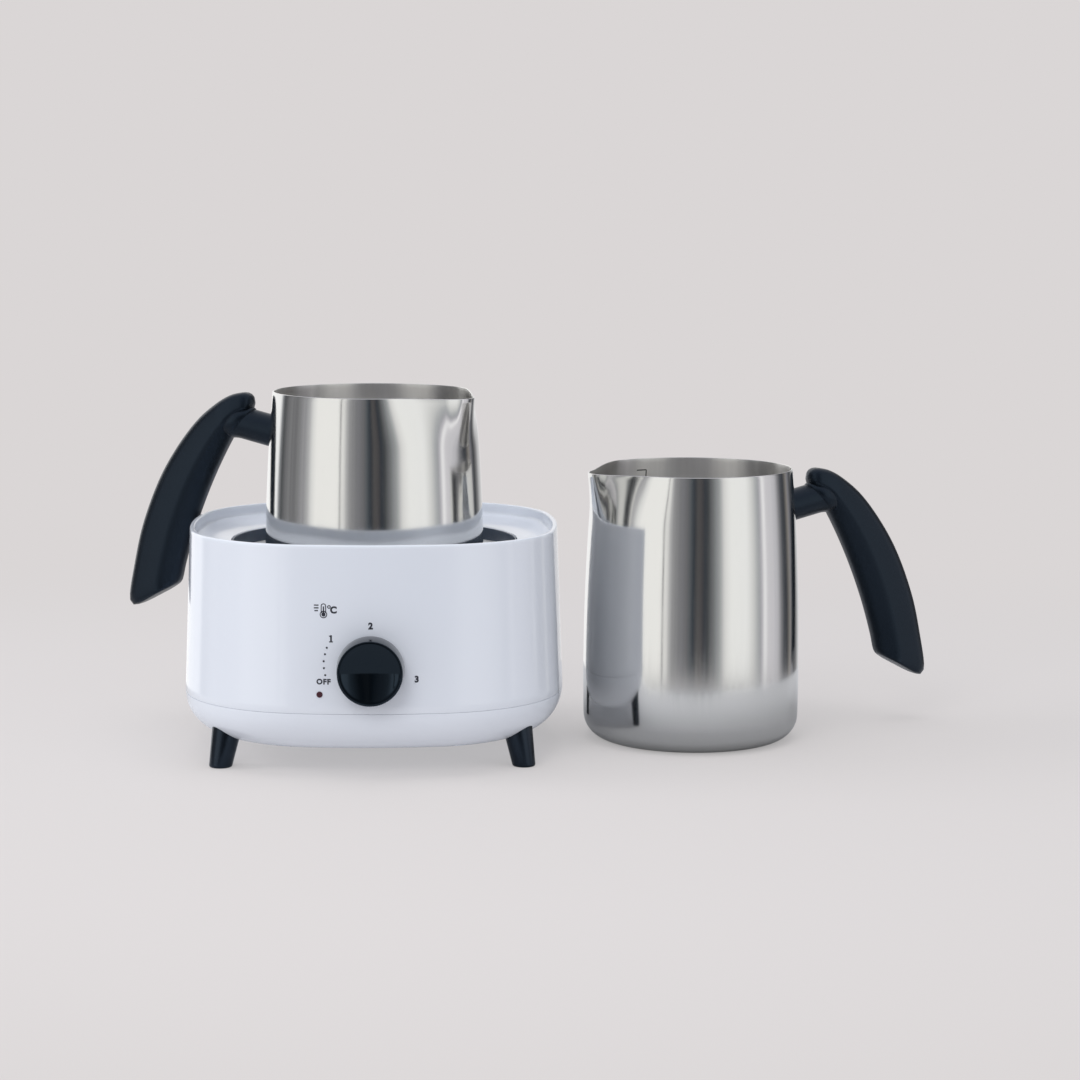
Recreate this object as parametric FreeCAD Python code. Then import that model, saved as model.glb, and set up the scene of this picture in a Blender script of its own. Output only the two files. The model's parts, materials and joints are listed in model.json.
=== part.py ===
"""Candle wax melter: a heated base with a round well, and two pouring jugs.

Millimetres, +Z up. The origin is on the table, under the middle of the well.
The control knob faces -Y, and +X is to the right of somebody facing the knob.
"""
import FreeCAD, Part
import math
import os
from FreeCAD import Vector

# ---------------------------------------------------------------- driving sizes
# housing: a rounded square whose sides are large arcs and whose corners are small ones
HOUSING_ROOM = 41.0      # from the jug's foot out to the housing's side, at the parting line
CORNER_R = 67.7          # plan radius of the corners at the parting line
SIDE_R = 236.0           # plan radius of the bulging sides at the parting line
UNDERSIDE_Z = 11.7       # underside of the housing above the table
PARTING_Z = 32.0         # joint between the lower and the upper housing
RIM_Z = 112.0            # top of the rim
RIM_DRAFT = 3.0          # how far the wall leans in between the parting line and the rim
WALL = 2.4               # plastic wall
EDGE_REACH = 24.0        # how far in the rounding under the lower housing reaches
EDGE_RISE = 20.0         # how high it reaches
EDGE_STEPS = 6
RIM_ROUND = 0.8          # rounding of the rim's two edges

# deck round the well
DECK_HOLE_R = 71.2
DECK_Z = 103.6           # deck height at the hole
DECK_RISE = 0.11         # deck slope, rising outwards
DECK_T = 2.4

# jug
JUG_HEIGHT = 138.0
JUG_FOOT_R = 53.2        # radius where the wall meets the bottom rounding
JUG_BULGE = 0.5          # how much wider it is half way up
JUG_TAPER = 3.2          # how much narrower it is at the rim
JUG_EDGE_R = 12.5        # rounding between bottom and wall
JUG_WALL = 0.8
SPOUT_HEIGHT = 23.0      # height of the pouring lip's bulge
SPOUT_OUT = 3.6          # how far the lip stands out at the rim
SPOUT_R = 11.5           # lip radius at the rim
SPOUT_DIP = 3.0          # how far the lip's tip lies under the rim

# jug handle, in the jug's own frame
HANDLE_TURN = 20.0       # each handle's angle behind the base's left-right line, degrees
STEM_DROP = 22.5         # how far below the rim the stem leaves the wall
STEM_RISE = 13.0         # stem slope, degrees
STEM_R = 8.0
STEM_SEAT = 17.0         # from the housing's side in to the stem's seat inside the grip
GRIP_WIDTH = 19.0
GRIP_BACK = ((-29.2, 4.2), (-17.7, 6.2), (-8.2, 12.0), (1.6, 21.0),
             (17.6, 44.0), (29.3, 72.0), (37.6, 113.0))      # palm side: out from the housing's side,
GRIP_FRONT = ((-28.6, 10.4), (-21.2, 17.0), (-14.0, 28.5), (-3.8, 49.0),
              (5.1, 72.0), (12.8, 101.0))                    # down from the jug's rim; and jug side
GRIP_CREASE = 0.48       # where the grip is widest, as a share from the jug side
GRIP_BACK_SHARE = 0.62   # width of the palm side against the widest
GRIP_FRONT_SHARE = 0.42
GRIP_NOSE_SHARE = 0.6
GRIP_STEPS = 9
STUD_R = 2.5
STUD_PLATE_R = 6.5
STUD_PLATE_T = 1.2
INSERT_R = 3.6
INSERT_LENGTH = 8.0

# heated well
WELL_GAP = 1.2           # radial room round the jug
REST_GAP = 0.3           # under the jug
WELL_FLOOR_Z = 39.2
WELL_T = 0.8
WELL_CORNER_R = 9.0
WELL_LIP_R = 1.6
FLANGE_Z = 97.2          # top of the well's flange
FLANGE_MARGIN = 4.8      # how far the flange reaches past the deck's hole
EAR_MARGIN = 12.8        # and its four screws
EAR_HALF = 5.5
EAR_SCREW_R = 1.5

RING_WALL = 1.6          # ring between the hot flange and the deck
RING_GAP = 0.25
RING_LIP = 4.0
RING_LIP_T = 1.6

PLATE_MARGIN = 0.8       # how far the plate reaches past the well's flat floor
PLATE_T = 7.0
ELEMENT_INSET = 14.0     # heating tube's circle inside the plate's edge
ELEMENT_R = 3.2
ELEMENT_LEG_X = 9.0
ELEMENT_PIN_R = 1.2
GROOVE_GAP = 0.08

SHIELD_ROOM = 1.7        # between the temperature bulb and the heat shield
SHIELD_T = 0.6
SHIELD_FLOOR_Z = 22.0
SHIELD_LIP = 6.0
PAD_INNER_R = 20.0

FUSE_R = 2.1
FUSE_LENGTH = 11.0
CLIP_T = 0.5
CLIP_WIDTH = 5.0

# feet
FOOT_INSET_X = 20.7      # feet inside the half width
FOOT_INSET_Y = 34.2
FOOT_LEAN_X = 0.17       # inward lean per millimetre of height
FOOT_LEAN_Y = 0.15
FOOT_GROUND_R = 5.5
FOOT_FLARE = 0.085       # radius gained per millimetre along the foot
FOOT_LENGTH = 28.0
FOOT_EDGE = 1.0
FOOT_BOSS_R = 6.2
FOOT_BOSS_TOP = 25.0     # along the foot's axis
FOOT_SCREW_START = 7.0

# screws
SCREW_R = 1.5
SCREW_HEAD_R = 2.9
SCREW_HEAD_T = 2.0
SCREW_PLAY = 0.15        # room round a screw in the piece that it only passes through
THREAD_PLAY = 0.02       # room round a screw in the piece that it bites into

POST_X = 42.0            # four posts join the two housings
POST_INSET = 20.2        # posts inside the front and rear walls
POST_R = 4.2
POST_SEAT = 4.5          # height of the screws' seats above the underside
POST_SCREW_RISE = 12.0   # how far the screws reach above the parting line
TONGUE_T = 1.2           # locating tongue of the lower housing
TONGUE_RISE = 3.0
TONGUE_ROOT = 3.0
TONGUE_GAP = 0.15

VENT_COUNT = 7
VENT_PITCH = 7.0
VENT_WIDTH = 2.6
VENT_LENGTH = 30.0

# control
KNOB_Z = 53.5
KNOB_REAR_R = 16.1
KNOB_FRONT_R = 15.4
KNOB_LENGTH = 12.2
KNOB_GAP = 0.8           # between knob and front wall
KNOB_RIM = 1.7           # width of the raised rim round the face
KNOB_RIM_DEPTH = 0.9
KNOB_FACE_CROWN = 0.7
KNOB_SHELL = 2.0
KNOB_HUB_R = 5.5
KNOB_HUB_SINK = 1.6      # hub's end behind the knob's rear rim
POINTER_R = 0.6
POINTER_DEPTH = 0.35
POINTER_RADIUS = 13.0
POINTER_ANGLE = -9.0     # from +X, towards the highest setting

SHAFT_R = 3.0
SHAFT_FLAT = 2.2         # distance from the shaft's axis to its flat
SHAFT_GRIP = 8.0         # shaft length inside the knob
SHAFT_PLAY = 0.03
BUSHING_R = 4.0
BUSHING_PLAY = 0.05      # between the turning shaft and its bushing
BUSHING_PROUD = 3.0      # bushing length in front of the bracket
NUT_R = 6.0
NUT_T = 2.0
BRACKET_WIDTH = 38.0
BRACKET_HEIGHT = 24.0
BRACKET_T = 1.2
BRACKET_BACK = 3.0       # bracket's front face behind the inside of the front wall
BRACKET_SCREW_X = 15.6
BRACKET_SCREW_LENGTH = 3.6
CONTROL_WIDTH = 24.0
CONTROL_DEPTH = 15.0
SHAFT_TAIL = 6.0         # shaft length inside the control's body

BULB_R = 2.2             # temperature bulb against the well's wall
BULB_LENGTH = 38.0
BULB_Z = 46.0
BULB_ANGLE = -62.0
BULB_GAP = 0.1
CAPILLARY_R = 0.8

# indicator
LAMP_X = -24.0
LAMP_Z = 41.4
LENS_R = 1.5
LENS_PROUD = 0.5
LENS_FLANGE_R = 3.0
LENS_FLANGE_T = 1.2
LENS_PLAY = 0.05
LAMP_R = 2.3
LAMP_LENGTH = 9.0
LAMP_HOLDER_T = 1.0

# rear inlet
INLET_Z = 44.0
INLET_BORE_R = 3.5
INLET_BODY_R = 5.0
INLET_FLANGE_R = 7.5
INLET_FLANGE_T = 2.0
INLET_TAIL = 6.0
INLET_PLAY = 0.05

BLOCK_WIDTH = 30.0       # terminal block
BLOCK_DEPTH = 9.5
BLOCK_HEIGHT = 12.0
BLOCK_GAP = 0.8          # behind the heat shield
BLOCK_HOLE_R = 1.6

WIRE_R = 1.3
WIRE_BEND = 7.0
WIRE_GAP = 8.7           # from the shield out to the wires' circle
WIRE_Z = 19.5

JUG_2_GAP = 12.2         # the second jug stands on the table beside the base
JUG_2_Y = 12.0

# ---------------------------------------------------------------- derived places
TOP = Vector(0, 0, 1)
OUT_FRONT = Vector(0, -1, 0)
BIG = 400.0
HALF_WIDTH = JUG_FOOT_R + HOUSING_ROOM   # half width at the parting line
JUG_RIM_R = JUG_FOOT_R - JUG_TAPER
STEM_LENGTH = HOUSING_ROOM - STEM_SEAT


def wall_points(inset):
    """Jug's wall above its bottom rounding: three points of an arc in the X-Z plane."""
    return (Vector(JUG_FOOT_R - inset, 0, JUG_EDGE_R),
            Vector(JUG_FOOT_R + JUG_BULGE - inset, 0, (JUG_EDGE_R + JUG_HEIGHT) / 2.0),
            Vector(JUG_RIM_R - inset, 0, JUG_HEIGHT))


def jug_radius(z):
    """Outer radius of the jug's wall at height z."""
    circle = Part.Circle(*wall_points(0.0))
    return circle.Center.x + math.sqrt(circle.Radius ** 2 - (z - circle.Center.z) ** 2)


JUG_MAX_R = jug_radius(Part.Circle(*wall_points(0.0)).Center.z)
WELL_R = JUG_MAX_R + WELL_GAP
WELL_OUTER_R = WELL_R + WELL_T
SHIELD_R = WELL_OUTER_R + BULB_GAP + 2.0 * BULB_R + SHIELD_ROOM
PLATE_R = WELL_R - WELL_CORNER_R + PLATE_MARGIN
ELEMENT_MAJOR_R = PLATE_R - ELEMENT_INSET
BLOCK_Y = SHIELD_R + SHIELD_T + BLOCK_GAP
WIRE_ROUTE_R = SHIELD_R + SHIELD_T + WIRE_GAP
JUG_2_X = HALF_WIDTH + JUG_2_GAP + JUG_MAX_R
FOOT_X = HALF_WIDTH - FOOT_INSET_X
FOOT_Y = HALF_WIDTH - FOOT_INSET_Y
POST_Y = HALF_WIDTH - POST_INSET
FLANGE_R = DECK_HOLE_R + FLANGE_MARGIN
EAR_R = DECK_HOLE_R + EAR_MARGIN
JUG_1_Z = WELL_FLOOR_Z + REST_GAP
PLATE_TOP_Z = WELL_FLOOR_Z - WELL_T
PLATE_Z = PLATE_TOP_Z - PLATE_T
FLANGE_UNDER_Z = FLANGE_Z - WELL_T


def draft_at(z):
    """Inset of the upper housing's outer wall at height z."""
    return RIM_DRAFT * (z - PARTING_Z) / (RIM_Z - PARTING_Z)


def deck_z(radius):
    """Height of the deck's top at a radius."""
    return DECK_Z + DECK_RISE * (radius - DECK_HOLE_R)


def side_y(x, z, inset=0.0):
    """Distance of the front or rear wall from the middle plane, at x and z."""
    shrink = inset + draft_at(z)
    radius = SIDE_R - shrink
    centre = HALF_WIDTH - SIDE_R
    return centre + math.sqrt(radius * radius - x * x)


def plan_wire(inset, z):
    """Rounded-square outline, inset from the parting line's outline."""
    start = HALF_WIDTH - SIDE_R
    reach = SIDE_R - CORNER_R
    corner = (start + math.sqrt(2.0 * reach * reach - start * start)) / 2.0
    turn = math.atan2(corner, corner - start)
    side_r = SIDE_R - inset
    corner_r = CORNER_R - inset
    edges = []
    for quarter in range(4):
        middle = quarter * math.pi / 2.0
        axis = Vector(math.cos(middle), math.sin(middle), 0)
        cross = Vector(-math.sin(middle), math.cos(middle), 0)
        side_centre = axis * start + Vector(0, 0, z)
        corner_centre = axis * corner + cross * corner + Vector(0, 0, z)

        def at(centre, radius, angle):
            return centre + axis * (radius * math.cos(angle)) + cross * (radius * math.sin(angle))

        side = [at(side_centre, side_r, angle) for angle in (-turn, 0.0, turn)]
        bend = [at(corner_centre, corner_r, angle)
                for angle in (turn, math.pi / 4.0, math.pi / 2.0 - turn)]
        edges.append(Part.Arc(*side).toShape())
        edges.append(Part.Arc(*bend).toShape())
    return Part.Wire(edges)


def prism(inset, low, high):
    """Straight block with the rounded-square outline."""
    return Part.Face(plan_wire(inset, low)).extrude(Vector(0, 0, high - low))


def drafted(inset, low, high):
    """Block that follows the upper housing's leaning wall."""
    wires = [plan_wire(inset + draft_at(z), z) for z in (low, high)]
    return Part.makeLoft(wires, True, True)


def rod(radius, start, direction, length):
    """Round bar from a point along a direction."""
    return Part.makeCylinder(radius, length, start, direction)


def revolved(points, axis=TOP, base=Vector(0, 0, 0)):
    """Ring turned from a closed outline."""
    face = Part.Face(Part.makePolygon(points + [points[0]]))
    return face.revolve(base, axis, 360)


def tube(points, radius, bend):
    """Bar along straight runs joined by tangent arcs."""
    edges = []
    last = points[0]
    for before, corner, after in zip(points, points[1:], points[2:]):
        back = (before - corner).normalize()
        ahead = (after - corner).normalize()
        turn = math.pi - back.getAngle(ahead)
        shorter = min((before - corner).Length, (after - corner).Length)
        trim = min(bend * math.tan(turn / 2.0), 0.45 * shorter)
        arc_r = trim / math.tan(turn / 2.0)
        enter = corner + back * trim
        leave = corner + ahead * trim
        inward = (back + ahead).normalize()
        centre = corner + inward * (arc_r / math.cos(turn / 2.0))
        middle = centre - inward * arc_r
        edges.append(Part.LineSegment(last, enter).toShape())
        edges.append(Part.Arc(enter, middle, leave).toShape())
        last = leave
    edges.append(Part.LineSegment(last, points[-1]).toShape())
    path = Part.Wire(edges)
    heading = (points[1] - points[0]).normalize()
    profile = Part.Wire([Part.makeCircle(radius, points[0], heading)])
    return path.makePipeShell([profile], True, False)


def screw(seat, direction, length):
    """Pan-head screw: direction points from the head into the thread."""
    head = rod(SCREW_HEAD_R, seat - direction * SCREW_HEAD_T, direction, SCREW_HEAD_T)
    shank = rod(SCREW_R, seat, direction, length)
    driver = rod(SCREW_R * 0.7, seat - direction * SCREW_HEAD_T, direction, SCREW_HEAD_T * 0.5)
    return head.fuse(shank).cut(driver).removeSplitter()


def post_places():
    return [Vector(sx * POST_X, sy * POST_Y, 0) for sx in (-1, 1) for sy in (-1, 1)]


def ear_places():
    turns = [math.radians(45 + 90 * number) for number in range(4)]
    return [Vector(EAR_R * math.cos(turn), EAR_R * math.sin(turn), 0) for turn in turns]


def foot_places():
    """Name, ground point and upward axis of each foot."""
    places = []
    for name, sx, sy in (("front_left", -1, -1), ("front_right", 1, -1),
                         ("rear_left", -1, 1), ("rear_right", 1, 1)):
        axis = Vector(-sx * FOOT_LEAN_X, -sy * FOOT_LEAN_Y, 1).normalize()
        places.append((name, Vector(sx * FOOT_X, sy * FOOT_Y, 0), axis))
    return places


# ---------------------------------------------------------------- housing
def rounded_tub(inset, low):
    """Solid outline of the lower housing, rounded underneath along an ellipse."""
    reach = EDGE_REACH - inset
    rise = min(EDGE_RISE - inset, (PARTING_Z - low) * 0.98)
    wires = []
    for step in range(EDGE_STEPS + 1):
        turn = math.pi / 2.0 * step / EDGE_STEPS
        depth = inset + reach * (1 - math.sin(turn))
        wires.append(plan_wire(depth, low + rise * (1 - math.cos(turn))))
    bowl = Part.makeLoft(wires, True, False)
    return bowl.fuse(prism(inset, low + rise, PARTING_Z)).removeSplitter()


def lower_housing():
    outline = rounded_tub(0.0, UNDERSIDE_Z)
    shell = outline.cut(rounded_tub(WALL, UNDERSIDE_Z + WALL))
    root_z = PARTING_Z - TONGUE_ROOT
    root = prism(WALL - 0.4, root_z, PARTING_Z).cut(prism(WALL + TONGUE_GAP + TONGUE_T, root_z, PARTING_Z))
    tip_z = PARTING_Z + TONGUE_RISE
    tongue = drafted(WALL + TONGUE_GAP, PARTING_Z, tip_z)
    tongue = tongue.cut(drafted(WALL + TONGUE_GAP + TONGUE_T, PARTING_Z, tip_z))
    parts = [root, tongue]
    holes = []
    for place in post_places():
        base = place + Vector(0, 0, UNDERSIDE_Z)
        parts.append(rod(POST_R, base, TOP, PARTING_Z - UNDERSIDE_Z).common(outline))
        holes.append(rod(SCREW_R + SCREW_PLAY, base, TOP, BIG))
        holes.append(rod(SCREW_HEAD_R + SCREW_PLAY, base, TOP, POST_SEAT))
    for name, ground, axis in foot_places():
        boss = rod(FOOT_BOSS_R, ground + axis * FOOT_SCREW_START, axis, FOOT_BOSS_TOP - FOOT_SCREW_START)
        parts.append(boss.common(outline))
        holes.append(rod(SCREW_R + SCREW_PLAY, ground, axis, FOOT_LENGTH))
        holes.append(rod(SCREW_HEAD_R + 1.0, ground + axis * FOOT_BOSS_TOP, axis, 12))
    first = -(VENT_COUNT - 1) * VENT_PITCH / 2.0
    for number in range(VENT_COUNT):
        x = first + number * VENT_PITCH
        slot = Part.makeBox(VENT_WIDTH, VENT_LENGTH, WALL * 3,
                            Vector(x - VENT_WIDTH / 2.0, -VENT_LENGTH / 2.0, UNDERSIDE_Z - WALL))
        holes.append(slot)
    return shell.multiFuse(parts).removeSplitter().cut(Part.makeCompound(holes))


def front_boss(x, z, radius, back):
    """Boss behind the front wall, from inside the wall back to a plane."""
    wall_y = -side_y(x, z)
    boss = rod(radius, Vector(x, wall_y, z), Vector(0, 1, 0), back - wall_y)
    return boss


def bracket_y():
    """Front face of the control's bracket."""
    return -side_y(0.0, KNOB_Z, WALL) + BRACKET_BACK


def upper_housing():
    outline = drafted(0.0, PARTING_Z, RIM_Z)
    shell = outline.cut(drafted(WALL, PARTING_Z, RIM_Z))
    far = DECK_HOLE_R + 40.0
    deck = revolved([Vector(DECK_HOLE_R, 0, DECK_Z),
                     Vector(far, 0, deck_z(far)),
                     Vector(far, 0, deck_z(far) - DECK_T),
                     Vector(DECK_HOLE_R, 0, DECK_Z - DECK_T)])
    inside = drafted(WALL * 0.5, PARTING_Z, RIM_Z)
    parts = [deck.common(inside)]
    holes = []
    for place in ear_places():
        top = deck_z(EAR_R) - DECK_T * 0.5
        parts.append(rod(EAR_HALF * 0.8, place + TOP * FLANGE_Z, TOP, top - FLANGE_Z))
        holes.append(rod(EAR_SCREW_R + THREAD_PLAY, place + TOP * (FLANGE_Z - 1), TOP, 6.5))
    for place in post_places():
        radius = place.Length
        top = deck_z(radius) - DECK_T * 0.5
        post = rod(POST_R, place + TOP * PARTING_Z, TOP, top - PARTING_Z)
        depth = HALF_WIDTH - abs(place.y)
        rib_y = place.y if place.y > 0 else place.y - depth
        low = PARTING_Z + TONGUE_RISE + 1.0
        rib = Part.makeBox(WALL * 0.7, depth, top - low, Vector(place.x - WALL * 0.35, rib_y, low))
        parts.append(post)
        parts.append(rib.common(inside))
        holes.append(rod(SCREW_R + THREAD_PLAY, place + TOP * (PARTING_Z - 1), TOP, POST_SCREW_RISE + 2.0))
    for side in (-1, 1):
        boss = front_boss(side * BRACKET_SCREW_X, KNOB_Z, 3.5, bracket_y())
        parts.append(boss.common(outline).cut(shell))
        screw_y = bracket_y()
        holes.append(rod(SCREW_R + THREAD_PLAY, Vector(side * BRACKET_SCREW_X, screw_y, KNOB_Z),
                         OUT_FRONT, BRACKET_SCREW_LENGTH - BRACKET_T + 0.2))
    holes.append(rod(SHAFT_R + 1.0, Vector(0, -HALF_WIDTH * 0.8, KNOB_Z), OUT_FRONT, HALF_WIDTH))
    holes.append(rod(LENS_R + LENS_PLAY, Vector(LAMP_X, -HALF_WIDTH * 0.8, LAMP_Z), OUT_FRONT, HALF_WIDTH))
    holes.append(rod(INLET_BODY_R + INLET_PLAY, Vector(0, HALF_WIDTH * 0.8, INLET_Z), Vector(0, 1, 0),
                     HALF_WIDTH))
    body = shell.multiFuse(parts).removeSplitter().cut(Part.makeCompound(holes))
    rim = [edge for edge in body.Edges if edge.BoundBox.ZMin > RIM_Z - 0.01]
    return body.makeFillet(RIM_ROUND, rim)


def foot(ground, axis):
    """Splayed tapered foot, cut to the housing's rounding above and flat on the table."""
    below = 4.0
    start = ground - axis * below
    low_r = FOOT_GROUND_R - FOOT_FLARE * below
    high_r = FOOT_GROUND_R + FOOT_FLARE * FOOT_LENGTH
    cone = Part.makeCone(low_r, high_r, FOOT_LENGTH + below, start, axis)
    cone = cone.cut(Part.makeBox(BIG, BIG, 20, Vector(-BIG / 2.0, -BIG / 2.0, -20)))
    ground_edge = [edge for edge in cone.Edges if edge.BoundBox.ZMax < 0.01]
    cone = cone.makeFillet(FOOT_EDGE, ground_edge)
    cone = cone.cut(rounded_tub(0.0, UNDERSIDE_Z))
    hole = rod(SCREW_R + THREAD_PLAY, ground + axis * FOOT_SCREW_START, axis, FOOT_LENGTH)
    pieces = sorted(cone.cut(hole).Solids, key=lambda solid: solid.CenterOfMass.z)
    return pieces[0]


def foot_screws():
    screws = []
    for name, ground, axis in foot_places():
        length = FOOT_BOSS_TOP - FOOT_SCREW_START
        screws.append(screw(ground + axis * FOOT_BOSS_TOP, axis * -1.0, length))
    return Part.makeCompound(screws)


def housing_screws():
    seat_z = UNDERSIDE_Z + POST_SEAT
    length = PARTING_Z + POST_SCREW_RISE - seat_z
    return Part.makeCompound([screw(place + TOP * seat_z, TOP, length) for place in post_places()])


# ---------------------------------------------------------------- heated well
def well_trim_ring():
    outer = DECK_HOLE_R - RING_GAP
    inner = outer - RING_WALL
    lip_top = DECK_Z - DECK_T - RING_GAP
    return revolved([Vector(inner, 0, FLANGE_Z),
                     Vector(outer + RING_LIP, 0, FLANGE_Z),
                     Vector(outer + RING_LIP, 0, min(FLANGE_Z + RING_LIP_T, lip_top)),
                     Vector(outer, 0, min(FLANGE_Z + RING_LIP_T, lip_top)),
                     Vector(outer, 0, DECK_Z),
                     Vector(inner, 0, DECK_Z)])


def cup_solid(radius, floor, corner, top, lip):
    """Solid of a round cup with a rounded floor, flared at its top."""
    points = [Vector(0, 0, floor), Vector(radius - corner, 0, floor), Vector(radius, 0, floor + corner),
              Vector(radius, 0, top - lip), Vector(radius + lip, 0, top), Vector(0, 0, top)]
    half = math.sqrt(0.5)
    low_mid = Vector(radius - corner * (1 - half), 0, floor + corner * (1 - half))
    lip_mid = Vector(radius + lip * (1 - half), 0, top - lip * (1 - half))
    edges = [Part.LineSegment(points[0], points[1]).toShape(),
             Part.Arc(points[1], low_mid, points[2]).toShape(),
             Part.LineSegment(points[2], points[3]).toShape(),
             Part.Arc(points[3], lip_mid, points[4]).toShape(),
             Part.LineSegment(points[4], points[5]).toShape(),
             Part.LineSegment(points[5], points[0]).toShape()]
    return Part.Face(Part.Wire(edges)).revolve(Vector(0, 0, 0), TOP, 360)


def heating_well():
    body = cup_solid(WELL_OUTER_R, PLATE_TOP_Z, WELL_CORNER_R + WELL_T, FLANGE_UNDER_Z, WELL_LIP_R)
    flange = Part.makeCylinder(FLANGE_R, WELL_T, Vector(0, 0, FLANGE_UNDER_Z))
    for place in ear_places():
        ear = Part.makeBox(EAR_R - FLANGE_R + 6.0, EAR_HALF * 2, WELL_T,
                           Vector(FLANGE_R - 6.0, -EAR_HALF, FLANGE_UNDER_Z))
        ear.rotate(Vector(0, 0, 0), TOP, math.degrees(math.atan2(place.y, place.x)))
        flange = flange.fuse([ear, rod(EAR_HALF, place + TOP * FLANGE_UNDER_Z, TOP, WELL_T)])
    holes = [rod(EAR_SCREW_R + SCREW_PLAY, place, TOP, BIG) for place in ear_places()]
    body = body.fuse(flange.removeSplitter())
    hollow = cup_solid(WELL_R, WELL_FLOOR_Z, WELL_CORNER_R, FLANGE_Z, WELL_LIP_R)
    return body.cut([hollow] + holes).removeSplitter()


def well_screws():
    return Part.makeCompound([screw(place + TOP * FLANGE_UNDER_Z, TOP, WELL_T + 5.0)
                              for place in ear_places()])


def element_shape(radius):
    """Ring of heating tube with two straight legs towards the rear."""
    leg_y = math.sqrt(ELEMENT_MAJOR_R ** 2 - ELEMENT_LEG_X ** 2)
    gap = math.degrees(math.asin(ELEMENT_LEG_X / ELEMENT_MAJOR_R))
    centre = Vector(0, 0, PLATE_Z)
    ring = Part.makeTorus(ELEMENT_MAJOR_R, radius, centre, TOP, 0, 360, 360 - 2 * gap)
    ring.rotate(centre, TOP, 90 + gap)
    parts = []
    for side in (-1, 1):
        knee = Vector(side * ELEMENT_LEG_X, leg_y, PLATE_Z)
        parts.append(Part.makeSphere(radius, knee))
        parts.append(rod(radius, knee, Vector(0, 1, 0), SHIELD_R - leg_y + 2.0))
    return ring.fuse(parts).removeSplitter()


def element_end_y():
    return SHIELD_R + 2.0


def heating_element():
    pins = [rod(ELEMENT_PIN_R, Vector(side * ELEMENT_LEG_X, element_end_y() - 1.0, PLATE_Z),
                Vector(0, 1, 0), 6.0) for side in (-1, 1)]
    return element_shape(ELEMENT_R).fuse(pins).removeSplitter()


def heating_plate():
    plate = Part.makeCylinder(PLATE_R, PLATE_T, Vector(0, 0, PLATE_Z))
    return plate.cut(element_shape(ELEMENT_R + GROOVE_GAP)).Solids[0]


def heat_shield():
    low = SHIELD_FLOOR_Z
    shield = revolved([Vector(0, 0, low),
                       Vector(SHIELD_R + SHIELD_T, 0, low),
                       Vector(SHIELD_R + SHIELD_T, 0, FLANGE_UNDER_Z - SHIELD_T),
                       Vector(SHIELD_R + SHIELD_T + SHIELD_LIP, 0, FLANGE_UNDER_Z - SHIELD_T),
                       Vector(SHIELD_R + SHIELD_T + SHIELD_LIP, 0, FLANGE_UNDER_Z),
                       Vector(SHIELD_R, 0, FLANGE_UNDER_Z),
                       Vector(SHIELD_R, 0, low + SHIELD_T),
                       Vector(0, 0, low + SHIELD_T)])
    holes = [rod(ELEMENT_R + 1.2, Vector(side * ELEMENT_LEG_X, SHIELD_R - 12.0, PLATE_Z),
                 Vector(0, 1, 0), 24.0) for side in (-1, 1)]
    holes.append(rod(PAD_INNER_R * 0.3, Vector(0, 0, low - 1), TOP, 3.0))
    exit_point = bulb_centre()
    holes.append(rod(CAPILLARY_R + 1.2, exit_point + TOP * capillary_exit_z(), radial(BULB_ANGLE), 12.0))
    return shield.cut(holes)


def insulation_pad():
    low = SHIELD_FLOOR_Z + SHIELD_T
    high = PLATE_Z - ELEMENT_R
    outer = ELEMENT_MAJOR_R + 12.0
    return revolved([Vector(PAD_INNER_R, 0, low), Vector(outer, 0, low),
                     Vector(outer, 0, high), Vector(PAD_INNER_R, 0, high)])


def thermal_fuse():
    middle = Vector(-FUSE_LENGTH / 2.0, 0, PLATE_Z - FUSE_R)
    body = rod(FUSE_R, middle, Vector(1, 0, 0), FUSE_LENGTH)
    leads = [rod(0.5, middle + Vector(reach, 0, 0), Vector(1, 0, 0), 3.0)
             for reach in (-2.8, FUSE_LENGTH - 0.2)]
    return body.fuse(leads).removeSplitter()


def fuse_clip():
    """Strap over the fuse, with an ear on each side against the plate."""
    start = Vector(-CLIP_WIDTH / 2.0, 0, PLATE_Z - FUSE_R)
    along = Vector(1, 0, 0)
    strap = rod(FUSE_R + CLIP_T, start, along, CLIP_WIDTH)
    ears = Part.makeBox(CLIP_WIDTH, 14.0, CLIP_T, Vector(-CLIP_WIDTH / 2.0, -7.0, PLATE_Z - CLIP_T))
    block = Part.makeBox(CLIP_WIDTH, 2 * (FUSE_R + CLIP_T), FUSE_R,
                         Vector(-CLIP_WIDTH / 2.0, -FUSE_R - CLIP_T, PLATE_Z - FUSE_R))
    room = rod(FUSE_R, start, along, CLIP_WIDTH)
    above = Part.makeBox(CLIP_WIDTH, 2 * FUSE_R, FUSE_R + 1,
                         Vector(-CLIP_WIDTH / 2.0, -FUSE_R, PLATE_Z - FUSE_R))
    limit = Part.makeBox(CLIP_WIDTH, 30, 30, Vector(-CLIP_WIDTH / 2.0, -15, PLATE_Z - 30))
    return strap.fuse([ears, block]).common(limit).cut([room, above]).removeSplitter()


# ---------------------------------------------------------------- control and indicator
def radial(angle):
    turn = math.radians(angle)
    return Vector(math.cos(turn), math.sin(turn), 0)


def bulb_centre():
    return radial(BULB_ANGLE) * (WELL_OUTER_R + BULB_R + BULB_GAP)


def capillary_exit_z():
    return BULB_Z - 12.0


def control_back_y():
    """Rear face of the control's body."""
    return bracket_y() + BRACKET_T + CONTROL_DEPTH


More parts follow.
